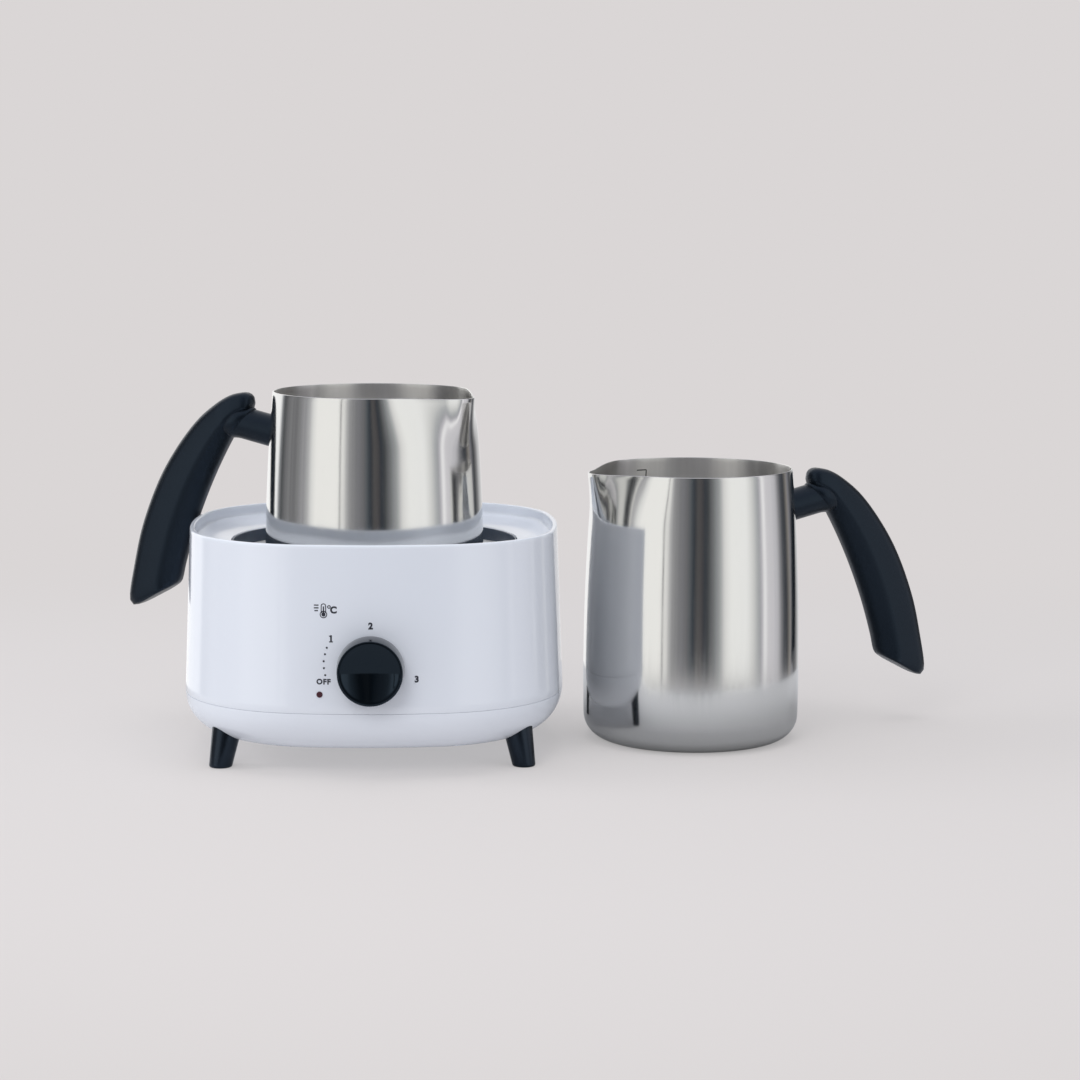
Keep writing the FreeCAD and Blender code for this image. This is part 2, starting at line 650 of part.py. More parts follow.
def thermostat_body():
    front = bracket_y() + BRACKET_T
    half = CONTROL_WIDTH / 2.0
    body = Part.makeBox(CONTROL_WIDTH, CONTROL_DEPTH, CONTROL_WIDTH, Vector(-half, front, KNOB_Z - half))
    upright = [edge for edge in body.Edges if abs(edge.BoundBox.YLength - CONTROL_DEPTH) < 0.01]
    body = body.makeFillet(3.0, upright)
    start = Vector(0, front, KNOB_Z)
    bushing = rod(BUSHING_R, start, OUT_FRONT, BRACKET_T + BUSHING_PROUD - 0.3)
    tags = [Part.makeBox(6.0, 5.0, 0.8, Vector(side * 7.0 - 3.0, control_back_y() - 0.2, KNOB_Z + side * 2.0))
            for side in (-1, 1)]
    bore = rod(SHAFT_R + BUSHING_PLAY, Vector(0, front + SHAFT_TAIL + 0.3, KNOB_Z), OUT_FRONT, 40.0)
    return body.fuse([bushing] + tags).cut(bore).removeSplitter()


def thermostat_bracket():
    front = bracket_y()
    plate = Part.makeBox(BRACKET_WIDTH, BRACKET_T, BRACKET_HEIGHT,
                         Vector(-BRACKET_WIDTH / 2.0, front, KNOB_Z - BRACKET_HEIGHT / 2.0))
    holes = [rod(BUSHING_R + SCREW_PLAY, Vector(0, front - 1, KNOB_Z), Vector(0, 1, 0), 5.0)]
    for side in (-1, 1):
        holes.append(rod(SCREW_R + SCREW_PLAY, Vector(side * BRACKET_SCREW_X, front - 1, KNOB_Z),
                         Vector(0, 1, 0), 5.0))
    return plate.cut(holes)


def bracket_screws():
    seat_y = bracket_y() + BRACKET_T
    return Part.makeCompound([screw(Vector(side * BRACKET_SCREW_X, seat_y, KNOB_Z), OUT_FRONT,
                                    BRACKET_SCREW_LENGTH) for side in (-1, 1)])


def thermostat_nut():
    front = bracket_y()
    corners = [Vector(NUT_R * math.cos(math.radians(60 * side)), front,
                      KNOB_Z + NUT_R * math.sin(math.radians(60 * side))) for side in range(7)]
    nut = Part.Face(Part.makePolygon(corners)).extrude(OUT_FRONT * NUT_T)
    return nut.cut(rod(BUSHING_R + THREAD_PLAY, Vector(0, front + 1, KNOB_Z), OUT_FRONT, NUT_T + 2))


def sensor_bulb():
    """Temperature bulb beside the well, with the fine tube that runs to the control."""
    foot_point = bulb_centre() + TOP * BULB_Z
    bulb = rod(BULB_R, foot_point, TOP, BULB_LENGTH)
    out = radial(BULB_ANGLE)
    low = bulb_centre() + TOP * capillary_exit_z()
    turn = low + out * 10.0
    side = Vector(CONTROL_WIDTH / 2.0, control_back_y() - CONTROL_DEPTH / 2.0, KNOB_Z - 7.6)
    path = [foot_point + TOP, low, turn, Vector(turn.x - 4.0, side.y + 4.0, side.z - 4.0),
            side + Vector(8.0, 0, 0), side]
    return bulb.fuse(tube(path, CAPILLARY_R, 4.0)).removeSplitter()


def knob_rear_y():
    return -side_y(0.0, KNOB_Z) - KNOB_GAP


def knob_section(points):
    """Turn an outline about the knob's axis: points are (radius, distance in front)."""
    rear = knob_rear_y()
    return revolved([Vector(radius, rear - ahead, KNOB_Z) for radius, ahead in points],
                    OUT_FRONT, Vector(0, 0, KNOB_Z))


def control_knob():
    front = KNOB_LENGTH
    face = front - KNOB_RIM_DEPTH
    inner_r = KNOB_FRONT_R - KNOB_RIM
    crown_r = (inner_r ** 2 + KNOB_FACE_CROWN ** 2) / (2 * KNOB_FACE_CROWN)
    body = knob_section([(0, 0), (KNOB_REAR_R, 0), (KNOB_FRONT_R, front), (0, front)])
    outer_edge = [edge for edge in body.Edges
                  if edge.BoundBox.YMax < knob_rear_y() - front + 0.01]
    body = body.makeFillet(KNOB_RIM * 0.45, outer_edge)
    recess = knob_section([(0, face), (inner_r, face), (inner_r, front + 1), (0, front + 1)])
    crown = Part.makeSphere(crown_r, Vector(0, knob_rear_y() - face + crown_r - KNOB_FACE_CROWN, KNOB_Z))
    hollow = knob_section([(KNOB_HUB_R, -1), (KNOB_REAR_R - KNOB_SHELL, -1),
                           (KNOB_FRONT_R - KNOB_SHELL - 0.6, face - 2.6), (KNOB_HUB_R, face - 2.6)])
    shorten = knob_section([(0, -1), (KNOB_HUB_R + 0.2, -1), (KNOB_HUB_R + 0.2, KNOB_HUB_SINK),
                            (0, KNOB_HUB_SINK)])
    bore = shaft_form(SHAFT_PLAY, 0.3)
    turn = math.radians(POINTER_ANGLE)
    dot = Vector(POINTER_RADIUS * math.cos(turn), knob_rear_y() - face - 1.0,
                 KNOB_Z + POINTER_RADIUS * math.sin(turn))
    pointer = rod(POINTER_R, dot, Vector(0, 1, 0), 1.0 + POINTER_DEPTH)
    return body.cut(recess.cut(crown)).cut([hollow, shorten, bore, pointer]).removeSplitter()


def shaft_form(play, extra):
    """D-shaped end of the shaft, grown by a play for the knob's bore."""
    tip_y = knob_rear_y() - KNOB_HUB_SINK - SHAFT_GRIP - extra
    back_y = bracket_y() + BRACKET_T + SHAFT_TAIL
    bar = rod(SHAFT_R + play, Vector(0, back_y, KNOB_Z), OUT_FRONT, back_y - tip_y)
    flat_y = knob_rear_y() - KNOB_HUB_SINK
    flat = Part.makeBox(20, flat_y - tip_y + 1, 10, Vector(-10, tip_y - 1, KNOB_Z + SHAFT_FLAT + play))
    return bar.cut(flat)


def thermostat_shaft():
    return shaft_form(0.0, 0.0)


def lens_y():
    """Where the indicator's axis meets the inside of the front wall."""
    return -side_y(abs(LAMP_X) - LENS_FLANGE_R, LAMP_Z, WALL) + 0.9


def indicator_lens():
    inside = lens_y()
    front = -side_y(abs(LAMP_X), LAMP_Z) - LENS_PROUD
    stem = rod(LENS_R, Vector(LAMP_X, inside, LAMP_Z), OUT_FRONT, inside - front)
    tip = [edge for edge in stem.Edges if edge.BoundBox.YMax < front + 0.01]
    stem = stem.makeFillet(LENS_PROUD * 0.9, tip)
    flange = rod(LENS_FLANGE_R, Vector(LAMP_X, inside + LENS_FLANGE_T, LAMP_Z), OUT_FRONT, LENS_FLANGE_T)
    return stem.fuse(flange).removeSplitter()


def indicator_lamp():
    start = Vector(LAMP_X, lens_y() + LENS_FLANGE_T, LAMP_Z)
    lamp = rod(LAMP_R, start, Vector(0, 1, 0), LAMP_LENGTH)
    legs = [rod(0.4, start + Vector(side * 1.1, LAMP_LENGTH - 0.2, 0), Vector(0, 1, 0), 4.0)
            for side in (-1, 1)]
    return lamp.fuse(legs).removeSplitter()


def lamp_holder():
    """Sleeve that carries the lens flange and the lamp, with a foot on the front wall."""
    back = lens_y() + LENS_FLANGE_T
    wall_y = -side_y(abs(LAMP_X) + LENS_FLANGE_R + LAMP_HOLDER_T, LAMP_Z, WALL)
    outer = LENS_FLANGE_R + THREAD_PLAY + LAMP_HOLDER_T
    start = Vector(LAMP_X, -HALF_WIDTH, LAMP_Z)
    sleeve = rod(outer, start, Vector(0, 1, 0), back + LAMP_LENGTH * 0.6 + HALF_WIDTH)
    sleeve = sleeve.common(drafted(WALL, PARTING_Z, RIM_Z))
    wide = rod(LENS_FLANGE_R + THREAD_PLAY, start, Vector(0, 1, 0), back + HALF_WIDTH)
    narrow = rod(LAMP_R + THREAD_PLAY, start, Vector(0, 1, 0), HALF_WIDTH - wall_y)
    return sleeve.cut([wide, narrow])


# ---------------------------------------------------------------- rear inlet and wiring
def cord_inlet():
    wall_out = side_y(0.0, INLET_Z)
    wall_in = side_y(0.0, INLET_Z, WALL)
    profile = [(INLET_BORE_R, wall_in - INLET_TAIL), (INLET_BODY_R, wall_in - INLET_TAIL),
               (INLET_BODY_R, wall_out + 0.5), (INLET_FLANGE_R, wall_out + 0.5),
               (INLET_FLANGE_R, wall_out + INLET_FLANGE_T), (INLET_BORE_R, wall_out + INLET_FLANGE_T)]
    body = revolved([Vector(radius, y, INLET_Z) for radius, y in profile],
                    Vector(0, 1, 0), Vector(0, 0, INLET_Z))
    seat = rod(INLET_FLANGE_R, Vector(0, wall_out - 2.0, INLET_Z), Vector(0, 1, 0), 2.5)
    seat = seat.cut(drafted(0.0, PARTING_Z, RIM_Z))
    seat = seat.cut(rod(INLET_BORE_R, Vector(0, 0, INLET_Z), Vector(0, 1, 0), BIG))
    return body.fuse(seat).removeSplitter()


def inlet_nut():
    wall_in = side_y(0.0, INLET_Z, WALL)
    ring = revolved([Vector(INLET_BODY_R + THREAD_PLAY, wall_in - 3.5, INLET_Z),
                     Vector(INLET_FLANGE_R, wall_in - 3.5, INLET_Z),
                     Vector(INLET_FLANGE_R, wall_in + WALL, INLET_Z),
                     Vector(INLET_BODY_R + THREAD_PLAY, wall_in + WALL, INLET_Z)],
                    Vector(0, 1, 0), Vector(0, 0, INLET_Z))
    return ring.common(drafted(WALL, PARTING_Z, RIM_Z))


def block_floor_z():
    return UNDERSIDE_Z + WALL


def terminal_block():
    low = block_floor_z()
    block = Part.makeBox(BLOCK_WIDTH, BLOCK_DEPTH, BLOCK_HEIGHT,
                         Vector(-BLOCK_WIDTH / 2.0, BLOCK_Y, low))
    holes = []
    for column in (-1, 0, 1):
        x = column * BLOCK_WIDTH / 3.0
        holes.append(rod(BLOCK_HOLE_R, Vector(x, BLOCK_Y - 1, low + BLOCK_HEIGHT / 2.0),
                         Vector(0, 1, 0), BLOCK_DEPTH + 2))
        holes.append(rod(BLOCK_HOLE_R, Vector(x, BLOCK_Y + BLOCK_DEPTH / 2.0, low + BLOCK_HEIGHT / 2.0),
                         TOP, BLOCK_HEIGHT))
    return block.common(rounded_tub(WALL, low)).cut(holes)


def ring_route(first, last, steps):
    """Points on the wires' circle between two angles."""
    return [radial(first + (last - first) * step / steps) * WIRE_ROUTE_R + TOP * WIRE_Z
            for step in range(steps + 1)]


def block_terminal(column):
    return Vector(column * BLOCK_WIDTH / 3.0, BLOCK_Y + 2.0, block_floor_z() + BLOCK_HEIGHT / 2.0)


def control_terminal(side):
    return Vector(side * 7.0, control_back_y() + 3.4, KNOB_Z + side * 2.0 - WIRE_R)


def supply_wire():
    """From the terminal block round the right side to the control."""
    start = block_terminal(1)
    end = control_terminal(1)
    path = [start, start - Vector(0, 4.6, 0)] + ring_route(62, -62, 4)
    path += [Vector(end.x + 3.0, end.y, KNOB_Z - 20.0), end]
    return tube(path, WIRE_R, WIRE_BEND)


def element_wire():
    """From the control round the left side to one leg of the element."""
    start = control_terminal(-1)
    end = Vector(-ELEMENT_LEG_X, element_end_y() + 6.0, PLATE_Z - ELEMENT_PIN_R - WIRE_R)
    path = [start, Vector(start.x - 3.0, start.y, KNOB_Z - 20.0)] + ring_route(-118, -242, 4)
    path += [Vector(-ELEMENT_LEG_X - 7.0, end.y, end.z - 0.6), end]
    return tube(path, WIRE_R, WIRE_BEND)


# ---------------------------------------------------------------- jugs
def jug_profile(inset):
    """Half outline of the jug, closed on its axis, inset by a wall."""
    foot_r = JUG_FOOT_R - inset
    corner = JUG_EDGE_R - inset
    half = math.sqrt(0.5)
    start = Vector(foot_r - corner, 0, inset)
    bend = Vector(foot_r - corner * (1 - half), 0, inset + corner * (1 - half))
    end = Vector(foot_r, 0, JUG_EDGE_R)
    rim = Vector(JUG_RIM_R - inset, 0, JUG_HEIGHT)
    edges = [Part.LineSegment(Vector(0, 0, inset), start).toShape(),
             Part.Arc(start, bend, end).toShape(),
             Part.Arc(*wall_points(inset)).toShape(),
             Part.LineSegment(rim, Vector(0, 0, JUG_HEIGHT)).toShape(),
             Part.LineSegment(Vector(0, 0, JUG_HEIGHT), Vector(0, 0, inset)).toShape()]
    return Part.Face(Part.Wire(edges)).revolve(Vector(0, 0, 0), TOP, 360)


def spout_form(inset):
    """Cone that makes the pouring lip, towards -X of the jug's frame."""
    low = JUG_HEIGHT - SPOUT_HEIGHT
    above = 2.0
    low_r = 2.0
    low_centre = JUG_RIM_R - low_r - 1.0
    top_centre = JUG_RIM_R + SPOUT_OUT - SPOUT_R
    growth = (SPOUT_R - low_r) / SPOUT_HEIGHT
    shift = (top_centre - low_centre) / SPOUT_HEIGHT
    wires = []
    for z in (low, JUG_HEIGHT + above):
        radius = low_r + growth * (z - low) - inset
        centre = low_centre + shift * (z - low)
        wires.append(Part.Wire([Part.makeCircle(radius, Vector(-centre, 0, z), TOP)]))
    return Part.makeLoft(wires, True, True)


def jug_cup():
    """Steel cup with its spout towards -X."""
    outer = jug_profile(0.0).fuse(spout_form(0.0))
    hollow = jug_profile(JUG_WALL).fuse([spout_form(JUG_WALL)])
    cup = outer.cut(hollow)
    tip = JUG_RIM_R + SPOUT_OUT
    back = JUG_RIM_R - SPOUT_R * 0.9
    tilt = math.atan2(SPOUT_DIP, tip - back)
    cutter = Part.makeBox(60, 80, 20, Vector(-60, -40, 0))
    cutter.rotate(Vector(0, 0, 0), Vector(0, 1, 0), -math.degrees(tilt))
    cutter.translate(Vector(-back, 0, JUG_HEIGHT))
    top = Part.makeBox(BIG, BIG, 30, Vector(-BIG / 2.0, -BIG / 2.0, JUG_HEIGHT))
    return cup.cut([cutter, top]).removeSplitter()


def stem_axis():
    """Point where the stem leaves the wall, and its outward direction."""
    turn = math.radians(STEM_RISE)
    direction = Vector(math.cos(turn), 0, math.sin(turn))
    height = JUG_HEIGHT - STEM_DROP
    return Vector(jug_radius(height), 0, height), direction


def handle_stud():
    """Threaded stud on a small plate that is welded to the wall."""
    root, direction = stem_axis()
    start = root - direction * 2.0
    plate = rod(STUD_PLATE_R, start, direction, 2.0 + STUD_PLATE_T)
    shank = rod(STUD_R, start, direction, STEM_LENGTH + INSERT_LENGTH)
    return plate.fuse(shank).removeSplitter().cut(jug_profile(0.0))


def handle_stem():
    """Round plastic stem, hollow over the stud's plate."""
    root, direction = stem_axis()
    outer = rod(STEM_R, root - direction * 4.0, direction, STEM_LENGTH + 4.0)
    plate_room = rod(STUD_PLATE_R + 0.2, root - direction * 4.0, direction, 4.0 + STUD_PLATE_T + 0.2)
    bore = rod(STUD_R + 0.2, root - direction * 4.0, direction, BIG)
    return outer.cut([plate_room, bore, jug_profile(0.0)]).Solids[0]


def smooth_curve(points):
    """Smooth curve through points (out from the housing's side, down from the rim), in the X-Z plane."""
    curve = Part.BSplineCurve()
    curve.interpolate([Vector(HALF_WIDTH + out, 0, JUG_HEIGHT - down) for out, down in points])
    return curve.toShape()


def grip_section(back, front, half):
    """Six-sided section between the palm side and the jug side of the grip."""
    crease = front + (back - front) * GRIP_CREASE
    return Part.makePolygon([back + Vector(0, half * GRIP_BACK_SHARE, 0),
                             crease + Vector(0, half, 0),
                             front + Vector(0, half * GRIP_FRONT_SHARE, 0),
                             front - Vector(0, half * GRIP_FRONT_SHARE, 0),
                             crease - Vector(0, half, 0),
                             back - Vector(0, half * GRIP_BACK_SHARE, 0),
                             back + Vector(0, half * GRIP_BACK_SHARE, 0)])


def handle_grip():
    """Curved blade that hooks over the stem and ends in a slanted cut."""
    back = smooth_curve(GRIP_BACK)
    front = smooth_curve(GRIP_FRONT)
    sections = []
    for step in range(GRIP_STEPS + 1):
        share = step / GRIP_STEPS
        half = GRIP_WIDTH / 2.0 * min(1.0, GRIP_NOSE_SHARE + share * 2.5)
        ends = [curve.valueAt(curve.getParameterByLength(curve.Length * share)) for curve in (back, front)]
        sections.append(grip_section(ends[0], ends[1], half))
    grip = Part.makeLoft(sections, True, False)
    root, direction = stem_axis()
    socket = rod(STEM_R + THREAD_PLAY, root, direction, STEM_LENGTH)
    insert = rod(INSERT_R + THREAD_PLAY, root, direction, STEM_LENGTH + INSERT_LENGTH)
    return max(grip.cut([socket, insert]).Solids, key=lambda solid: solid.Volume)


def grip_insert():
    """Threaded brass insert at the bottom of the grip's socket."""
    root, direction = stem_axis()
    body = rod(INSERT_R, root + direction * STEM_LENGTH, direction, INSERT_LENGTH)
    return body.cut(rod(STUD_R + THREAD_PLAY, root, direction, STEM_LENGTH + INSERT_LENGTH - 1.0))


def place_jug(shape, x, y, z, turn):
    moved = shape.copy()
    moved.rotate(Vector(0, 0, 0), TOP, turn)
    moved.translate(Vector(x, y, z))
    return moved


# ---------------------------------------------------------------- build
def all_nodes():
    nodes = {
        "lower_housing": lower_housing(),
        "upper_housing": upper_housing(),
        "foot_screws": foot_screws(),
        "housing_screws": housing_screws(),
        "well_trim_ring": well_trim_ring(),
        "heating_well": heating_well(),
        "well_screws": well_screws(),
        "heating_plate": heating_plate(),
        "heating_element": heating_element(),
        "heat_shield": heat_shield(),
        "insulation_pad": insulation_pad(),
        "thermal_fuse": thermal_fuse(),
        "fuse_clip": fuse_clip(),
        "thermostat_body": thermostat_body(),
        "thermostat_bracket": thermostat_bracket(),
        "thermostat_nut": thermostat_nut(),
        "bracket_screws": bracket_screws(),
        "sensor_bulb": sensor_bulb(),
        "control_knob": control_knob(),
        "thermostat_shaft": thermostat_shaft(),
        "indicator_lens": indicator_lens(),
        "indicator_lamp": indicator_lamp(),
        "lamp_holder": lamp_holder(),
        "cord_inlet": cord_inlet(),
        "inlet_nut": inlet_nut(),
        "terminal_block": terminal_block(),
        "supply_wire": supply_wire(),
        "element_wire": element_wire(),
    }
    for name, ground, axis in foot_places():
        nodes["foot_" + name] = foot(ground, axis)
    jug_pieces = {
        "cup": jug_cup(),
        "handle_stud": handle_stud(),
        "handle_stem": handle_stem(),
        "handle_grip": handle_grip(),
        "grip_insert": grip_insert(),
    }
    jugs = (("jug_1_", 0.0, 0.0, JUG_1_Z, 180.0 - HANDLE_TURN),
            ("jug_2_", JUG_2_X, JUG_2_Y, 0.0, HANDLE_TURN))
    for prefix, x, y, z, turn in jugs:
        for name, shape in jug_pieces.items():
            nodes[prefix + name] = place_jug(shape, x, y, z, turn)
    return nodes


os.makedirs("parts", exist_ok=True)
for node, shape in all_nodes().items():
    if not shape.isValid():
        print("not valid:", node)
    box = shape.optimalBoundingBox(False, False)
    print("%-22s solids %d volume %10.1f  z %7.2f to %7.2f" % (
        node, len(shape.Solids), shape.Volume, box.ZMin, box.ZMax))
    shape.exportStep("parts/%s.step" % node)
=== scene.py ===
import json
import math

import bmesh
import bpy
from mathutils import Matrix, Vector


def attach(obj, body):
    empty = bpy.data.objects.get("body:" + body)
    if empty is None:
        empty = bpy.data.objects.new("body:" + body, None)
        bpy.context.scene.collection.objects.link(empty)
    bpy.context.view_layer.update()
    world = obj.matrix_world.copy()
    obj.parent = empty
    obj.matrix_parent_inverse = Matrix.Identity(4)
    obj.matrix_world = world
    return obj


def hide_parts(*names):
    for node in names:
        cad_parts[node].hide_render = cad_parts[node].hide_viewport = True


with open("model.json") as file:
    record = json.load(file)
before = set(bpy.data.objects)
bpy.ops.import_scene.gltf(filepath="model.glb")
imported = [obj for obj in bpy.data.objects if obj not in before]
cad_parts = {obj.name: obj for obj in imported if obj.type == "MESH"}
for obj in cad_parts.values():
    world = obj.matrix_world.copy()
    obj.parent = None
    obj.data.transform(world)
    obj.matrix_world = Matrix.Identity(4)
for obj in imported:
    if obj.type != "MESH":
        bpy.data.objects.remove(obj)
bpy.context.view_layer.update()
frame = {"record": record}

MM = 0.001
UP = Vector((0, 0, 1))

# ---------------- camera

CAMERA_PLACE = Vector((0.0329, -1.4032, 0.2882))
CAMERA_PITCH = math.radians(7.533)
CAMERA_YAW = math.radians(2.038)
CAMERA_ROLL = math.radians(0.235)
CAMERA_LENS = 94.09


def make_camera():
    lens = bpy.data.cameras.new("camera")
    lens.sensor_width = 36.0
    lens.lens = CAMERA_LENS
    lens.clip_start = 0.05
    lens.clip_end = 30.0
    camera = bpy.data.objects.new("camera", lens)
    bpy.context.scene.collection.objects.link(camera)
    ahead = Vector((math.sin(CAMERA_YAW) * math.cos(CAMERA_PITCH),
                    math.cos(CAMERA_YAW) * math.cos(CAMERA_PITCH),
                    -math.sin(CAMERA_PITCH)))
    level = Vector((math.cos(CAMERA_YAW), -math.sin(CAMERA_YAW), 0))
    over = level.cross(ahead)
    right = level * math.cos(CAMERA_ROLL) + over * math.sin(CAMERA_ROLL)
    above = over * math.cos(CAMERA_ROLL) - level * math.sin(CAMERA_ROLL)
    turn = Matrix((right, above, -ahead)).transposed()
    camera.matrix_world = Matrix.Translation(CAMERA_PLACE) @ turn.to_4x4()
    bpy.context.scene.camera = camera


# ---------------- node helpers


def linear(*levels):
    """Screen levels from 0 to 255 as a linear colour."""
    parts = [level / 255.0 for level in levels]
    return tuple(part / 12.92 if part <= 0.04045 else ((part + 0.055) / 1.055) ** 2.4 for part in parts)


def with_alpha(colour):
    return (colour[0], colour[1], colour[2], 1.0)


def put(tree, kind, inputs=None, **settings):
    """Adds a node; an input is another node's output socket or a plain value, and a colour may leave out alpha."""
    made = tree.nodes.new(kind)
    for name, value in settings.items():
        setattr(made, name, value)
    for name, value in (inputs or {}).items():
        socket = made.inputs[name]
        if isinstance(value, bpy.types.NodeSocket):
            tree.links.new(value, socket)
        else:
            socket.default_value = with_alpha(value) if socket.type == "RGBA" else value
    return made


def maths(tree, operation, *values, clamp=False):
    return put(tree, "ShaderNodeMath", dict(enumerate(values)), operation=operation, use_clamp=clamp).outputs[0]


def blend(tree, share, first, second, data_type="FLOAT"):
    """Goes from the first number or colour to the second as the share goes from 0 to 1."""
    slots = (0, 6, 7) if data_type == "RGBA" else (0, 2, 3)
    made = put(tree, "ShaderNodeMix", dict(zip(slots, (share, first, second))), data_type=data_type)
    return made.outputs[2 if data_type == "RGBA" else 0]


def blend_colour(tree, share, first, second):
    return blend(tree, share, first, second, data_type="RGBA")


def ramp(tree, value, stops):
    made = put(tree, "ShaderNodeValToRGB", {"Fac": value})
    band = made.color_ramp
    while len(band.elements) < len(stops):
        band.elements.new(0.5)
    for element, (place, colour) in zip(band.elements, stops):
        element.position = place
        element.color = with_alpha(colour)
    return made.outputs["Color"]


def span(tree, value, low, high, to_low=0.0, to_high=1.0, smooth=True):
    """How far a value has gone from low to high, as a share or between two other numbers."""
    kind = "SMOOTHSTEP" if smooth else "LINEAR"
    made = put(tree, "ShaderNodeMapRange", {"Value": value, "From Min": low, "From Max": high,
                                            "To Min": to_low, "To Max": to_high}, interpolation_type=kind)
    return made.outputs["Result"]


def noise(tree, where, scale, detail):
    return put(tree, "ShaderNodeTexNoise", {"Vector": where, "Scale": scale, "Detail": detail}).outputs["Fac"]


def place_on_piece(tree, scale=(1, 1, 1), offset=(0, 0, 0)):
    where = put(tree, "ShaderNodeTexCoord").outputs["Object"]
    return put(tree, "ShaderNodeMapping", {"Vector": where, "Scale": scale, "Location": offset}).outputs["Vector"]


# ---------------- shared effects


def new_group(name, inputs, outputs):
    """An empty node group with the sockets of what it is given and of what it gives back."""
    group = bpy.data.node_groups.new(name, "ShaderNodeTree")
    for label, kind, value in inputs:
        socket = group.interface.new_socket(label, in_out="INPUT", socket_type="NodeSocket" + kind)
        if value is not None:
            socket.default_value = value
    for label, kind in outputs:
        group.interface.new_socket(label, in_out="OUTPUT", socket_type="NodeSocket" + kind)
    entry = group.nodes.new("NodeGroupInput")
    leave = group.nodes.new("NodeGroupOutput")
    return group, entry.outputs, leave.inputs


def make_tone_group():
    """Slow unevenness of a moulded or rolled surface, in colour and in polish."""
    group, given, result = new_group(
        "uneven_tone",
        [("Place", "Vector", None), ("Color", "Color", None), ("Roughness", "Float", 0.4),
         ("Size", "Float", 60.0), ("Tone", "Float", 0.03), ("Polish", "Float", 0.04)],
        [("Color", "Color"), ("Roughness", "Float")])
    slow = noise(group, given["Place"], given["Size"], 3.0)
    fine = noise(group, given["Place"], maths(group, "MULTIPLY", given["Size"], 7.0), 4.0)
    both = blend(group, 0.35, slow, fine)
    swing = maths(group, "MULTIPLY", maths(group, "SUBTRACT", both, 0.5), 2.0)
    gain = maths(group, "ADD", maths(group, "MULTIPLY", swing, given["Tone"]), 1.0)
    toned = put(group, "ShaderNodeVectorMath", {0: given["Color"], "Scale": gain}, operation="SCALE")
    group.links.new(toned.outputs[0], result["Color"])
    rough = maths(group, "ADD", maths(group, "MULTIPLY", swing, given["Polish"]), given["Roughness"], clamp=True)
    group.links.new(rough, result["Roughness"])
    return group


def make_grain_group():
    """Height of a spark-eroded or cast skin: small rounded pits over a softer grain."""
    group, given, result = new_group(
        "moulded_grain",
        [("Place", "Vector", None), ("Size", "Float", 900.0), ("Pits", "Float", 0.5)],
        [("Height", "Float")])
    soft = noise(group, given["Place"], given["Size"], 2.0)
    cells = put(group, "ShaderNodeTexVoronoi", {"Vector": given["Place"], "Scale": given["Size"],
                                                "Randomness": 1.0}, feature="SMOOTH_F1").outputs["Distance"]
    pit = maths(group, "MULTIPLY", cells, given["Pits"])
    group.links.new(maths(group, "ADD", soft, pit), result["Height"])
    return group


def make_line_group():
    """Fine drawn lines: a noise that is long one way and short the other, in two widths."""
    group, given, result = new_group(
        "drawn_lines",
        [("Place", "Vector", None), ("Fine", "Float", 900.0), ("Broad", "Float", 160.0)],
        [("Height", "Float"), ("Mask", "Float")])
    fine = noise(group, given["Place"], given["Fine"], 3.0)
    both = blend(group, 0.4, fine, noise(group, given["Place"], given["Broad"], 2.0))
    group.links.new(both, result["Height"])
    group.links.new(span(group, both, 0.38, 0.62), result["Mask"])
    return group


DUST_COLOUR = (0.45, 0.44, 0.42)


def make_dust_group():
    """A little pale dust that settles on faces that look up."""
    group, given, result = new_group(
        "settled_dust",
        [("Place", "Vector", None), ("Color", "Color", None), ("Amount", "Float", 0.05)],
        [("Color", "Color")])
    facing = put(group, "ShaderNodeNewGeometry").outputs["Normal"]
    upward = put(group, "ShaderNodeSeparateXYZ", {"Vector": facing}).outputs["Z"]
    flat = span(group, upward, 0.45, 1.0)
    specks = noise(group, given["Place"], 1400.0, 4.0)
    mask = maths(group, "MULTIPLY", maths(group, "MULTIPLY", flat, span(group, specks, 0.45, 0.75)),
                 given["Amount"], clamp=True)
    group.links.new(blend_colour(group, mask, given["Color"], DUST_COLOUR), result["Color"])
    return group


TONE = make_tone_group()
GRAIN = make_grain_group()
LINES = make_line_group()
DUST = make_dust_group()


def use(tree, group, inputs):
    return put(tree, "ShaderNodeGroup", inputs, node_tree=group)


# ---------------- finishes


def bare_material(name):
    material = bpy.data.materials.new(name)
    material.use_nodes = True
    material.node_tree.nodes.clear()
    return material, material.node_tree


def start_material(name, **constants):
    """A material with its shader; constants such as coat_weight are set on the shader's own sockets."""
    material, tree = bare_material(name)
    values = {label.replace("_", " ").title().replace("Ior", "IOR"): value for label, value in constants.items()}
    surface = put(tree, "ShaderNodeBsdfPrincipled", values)
    put(tree, "ShaderNodeOutputMaterial", {"Surface": surface.outputs[0]})
    return material, tree, surface


PLASTIC_RELIEF = 0.0002
METAL_RELIEF = 0.0001


def relief(tree, surface, height, strength, distance):
    bump = put(tree, "ShaderNodeBump", {"Height": height, "Strength": strength, "Distance": distance})
    tree.links.new(bump.outputs["Normal"], surface.inputs["Normal"])


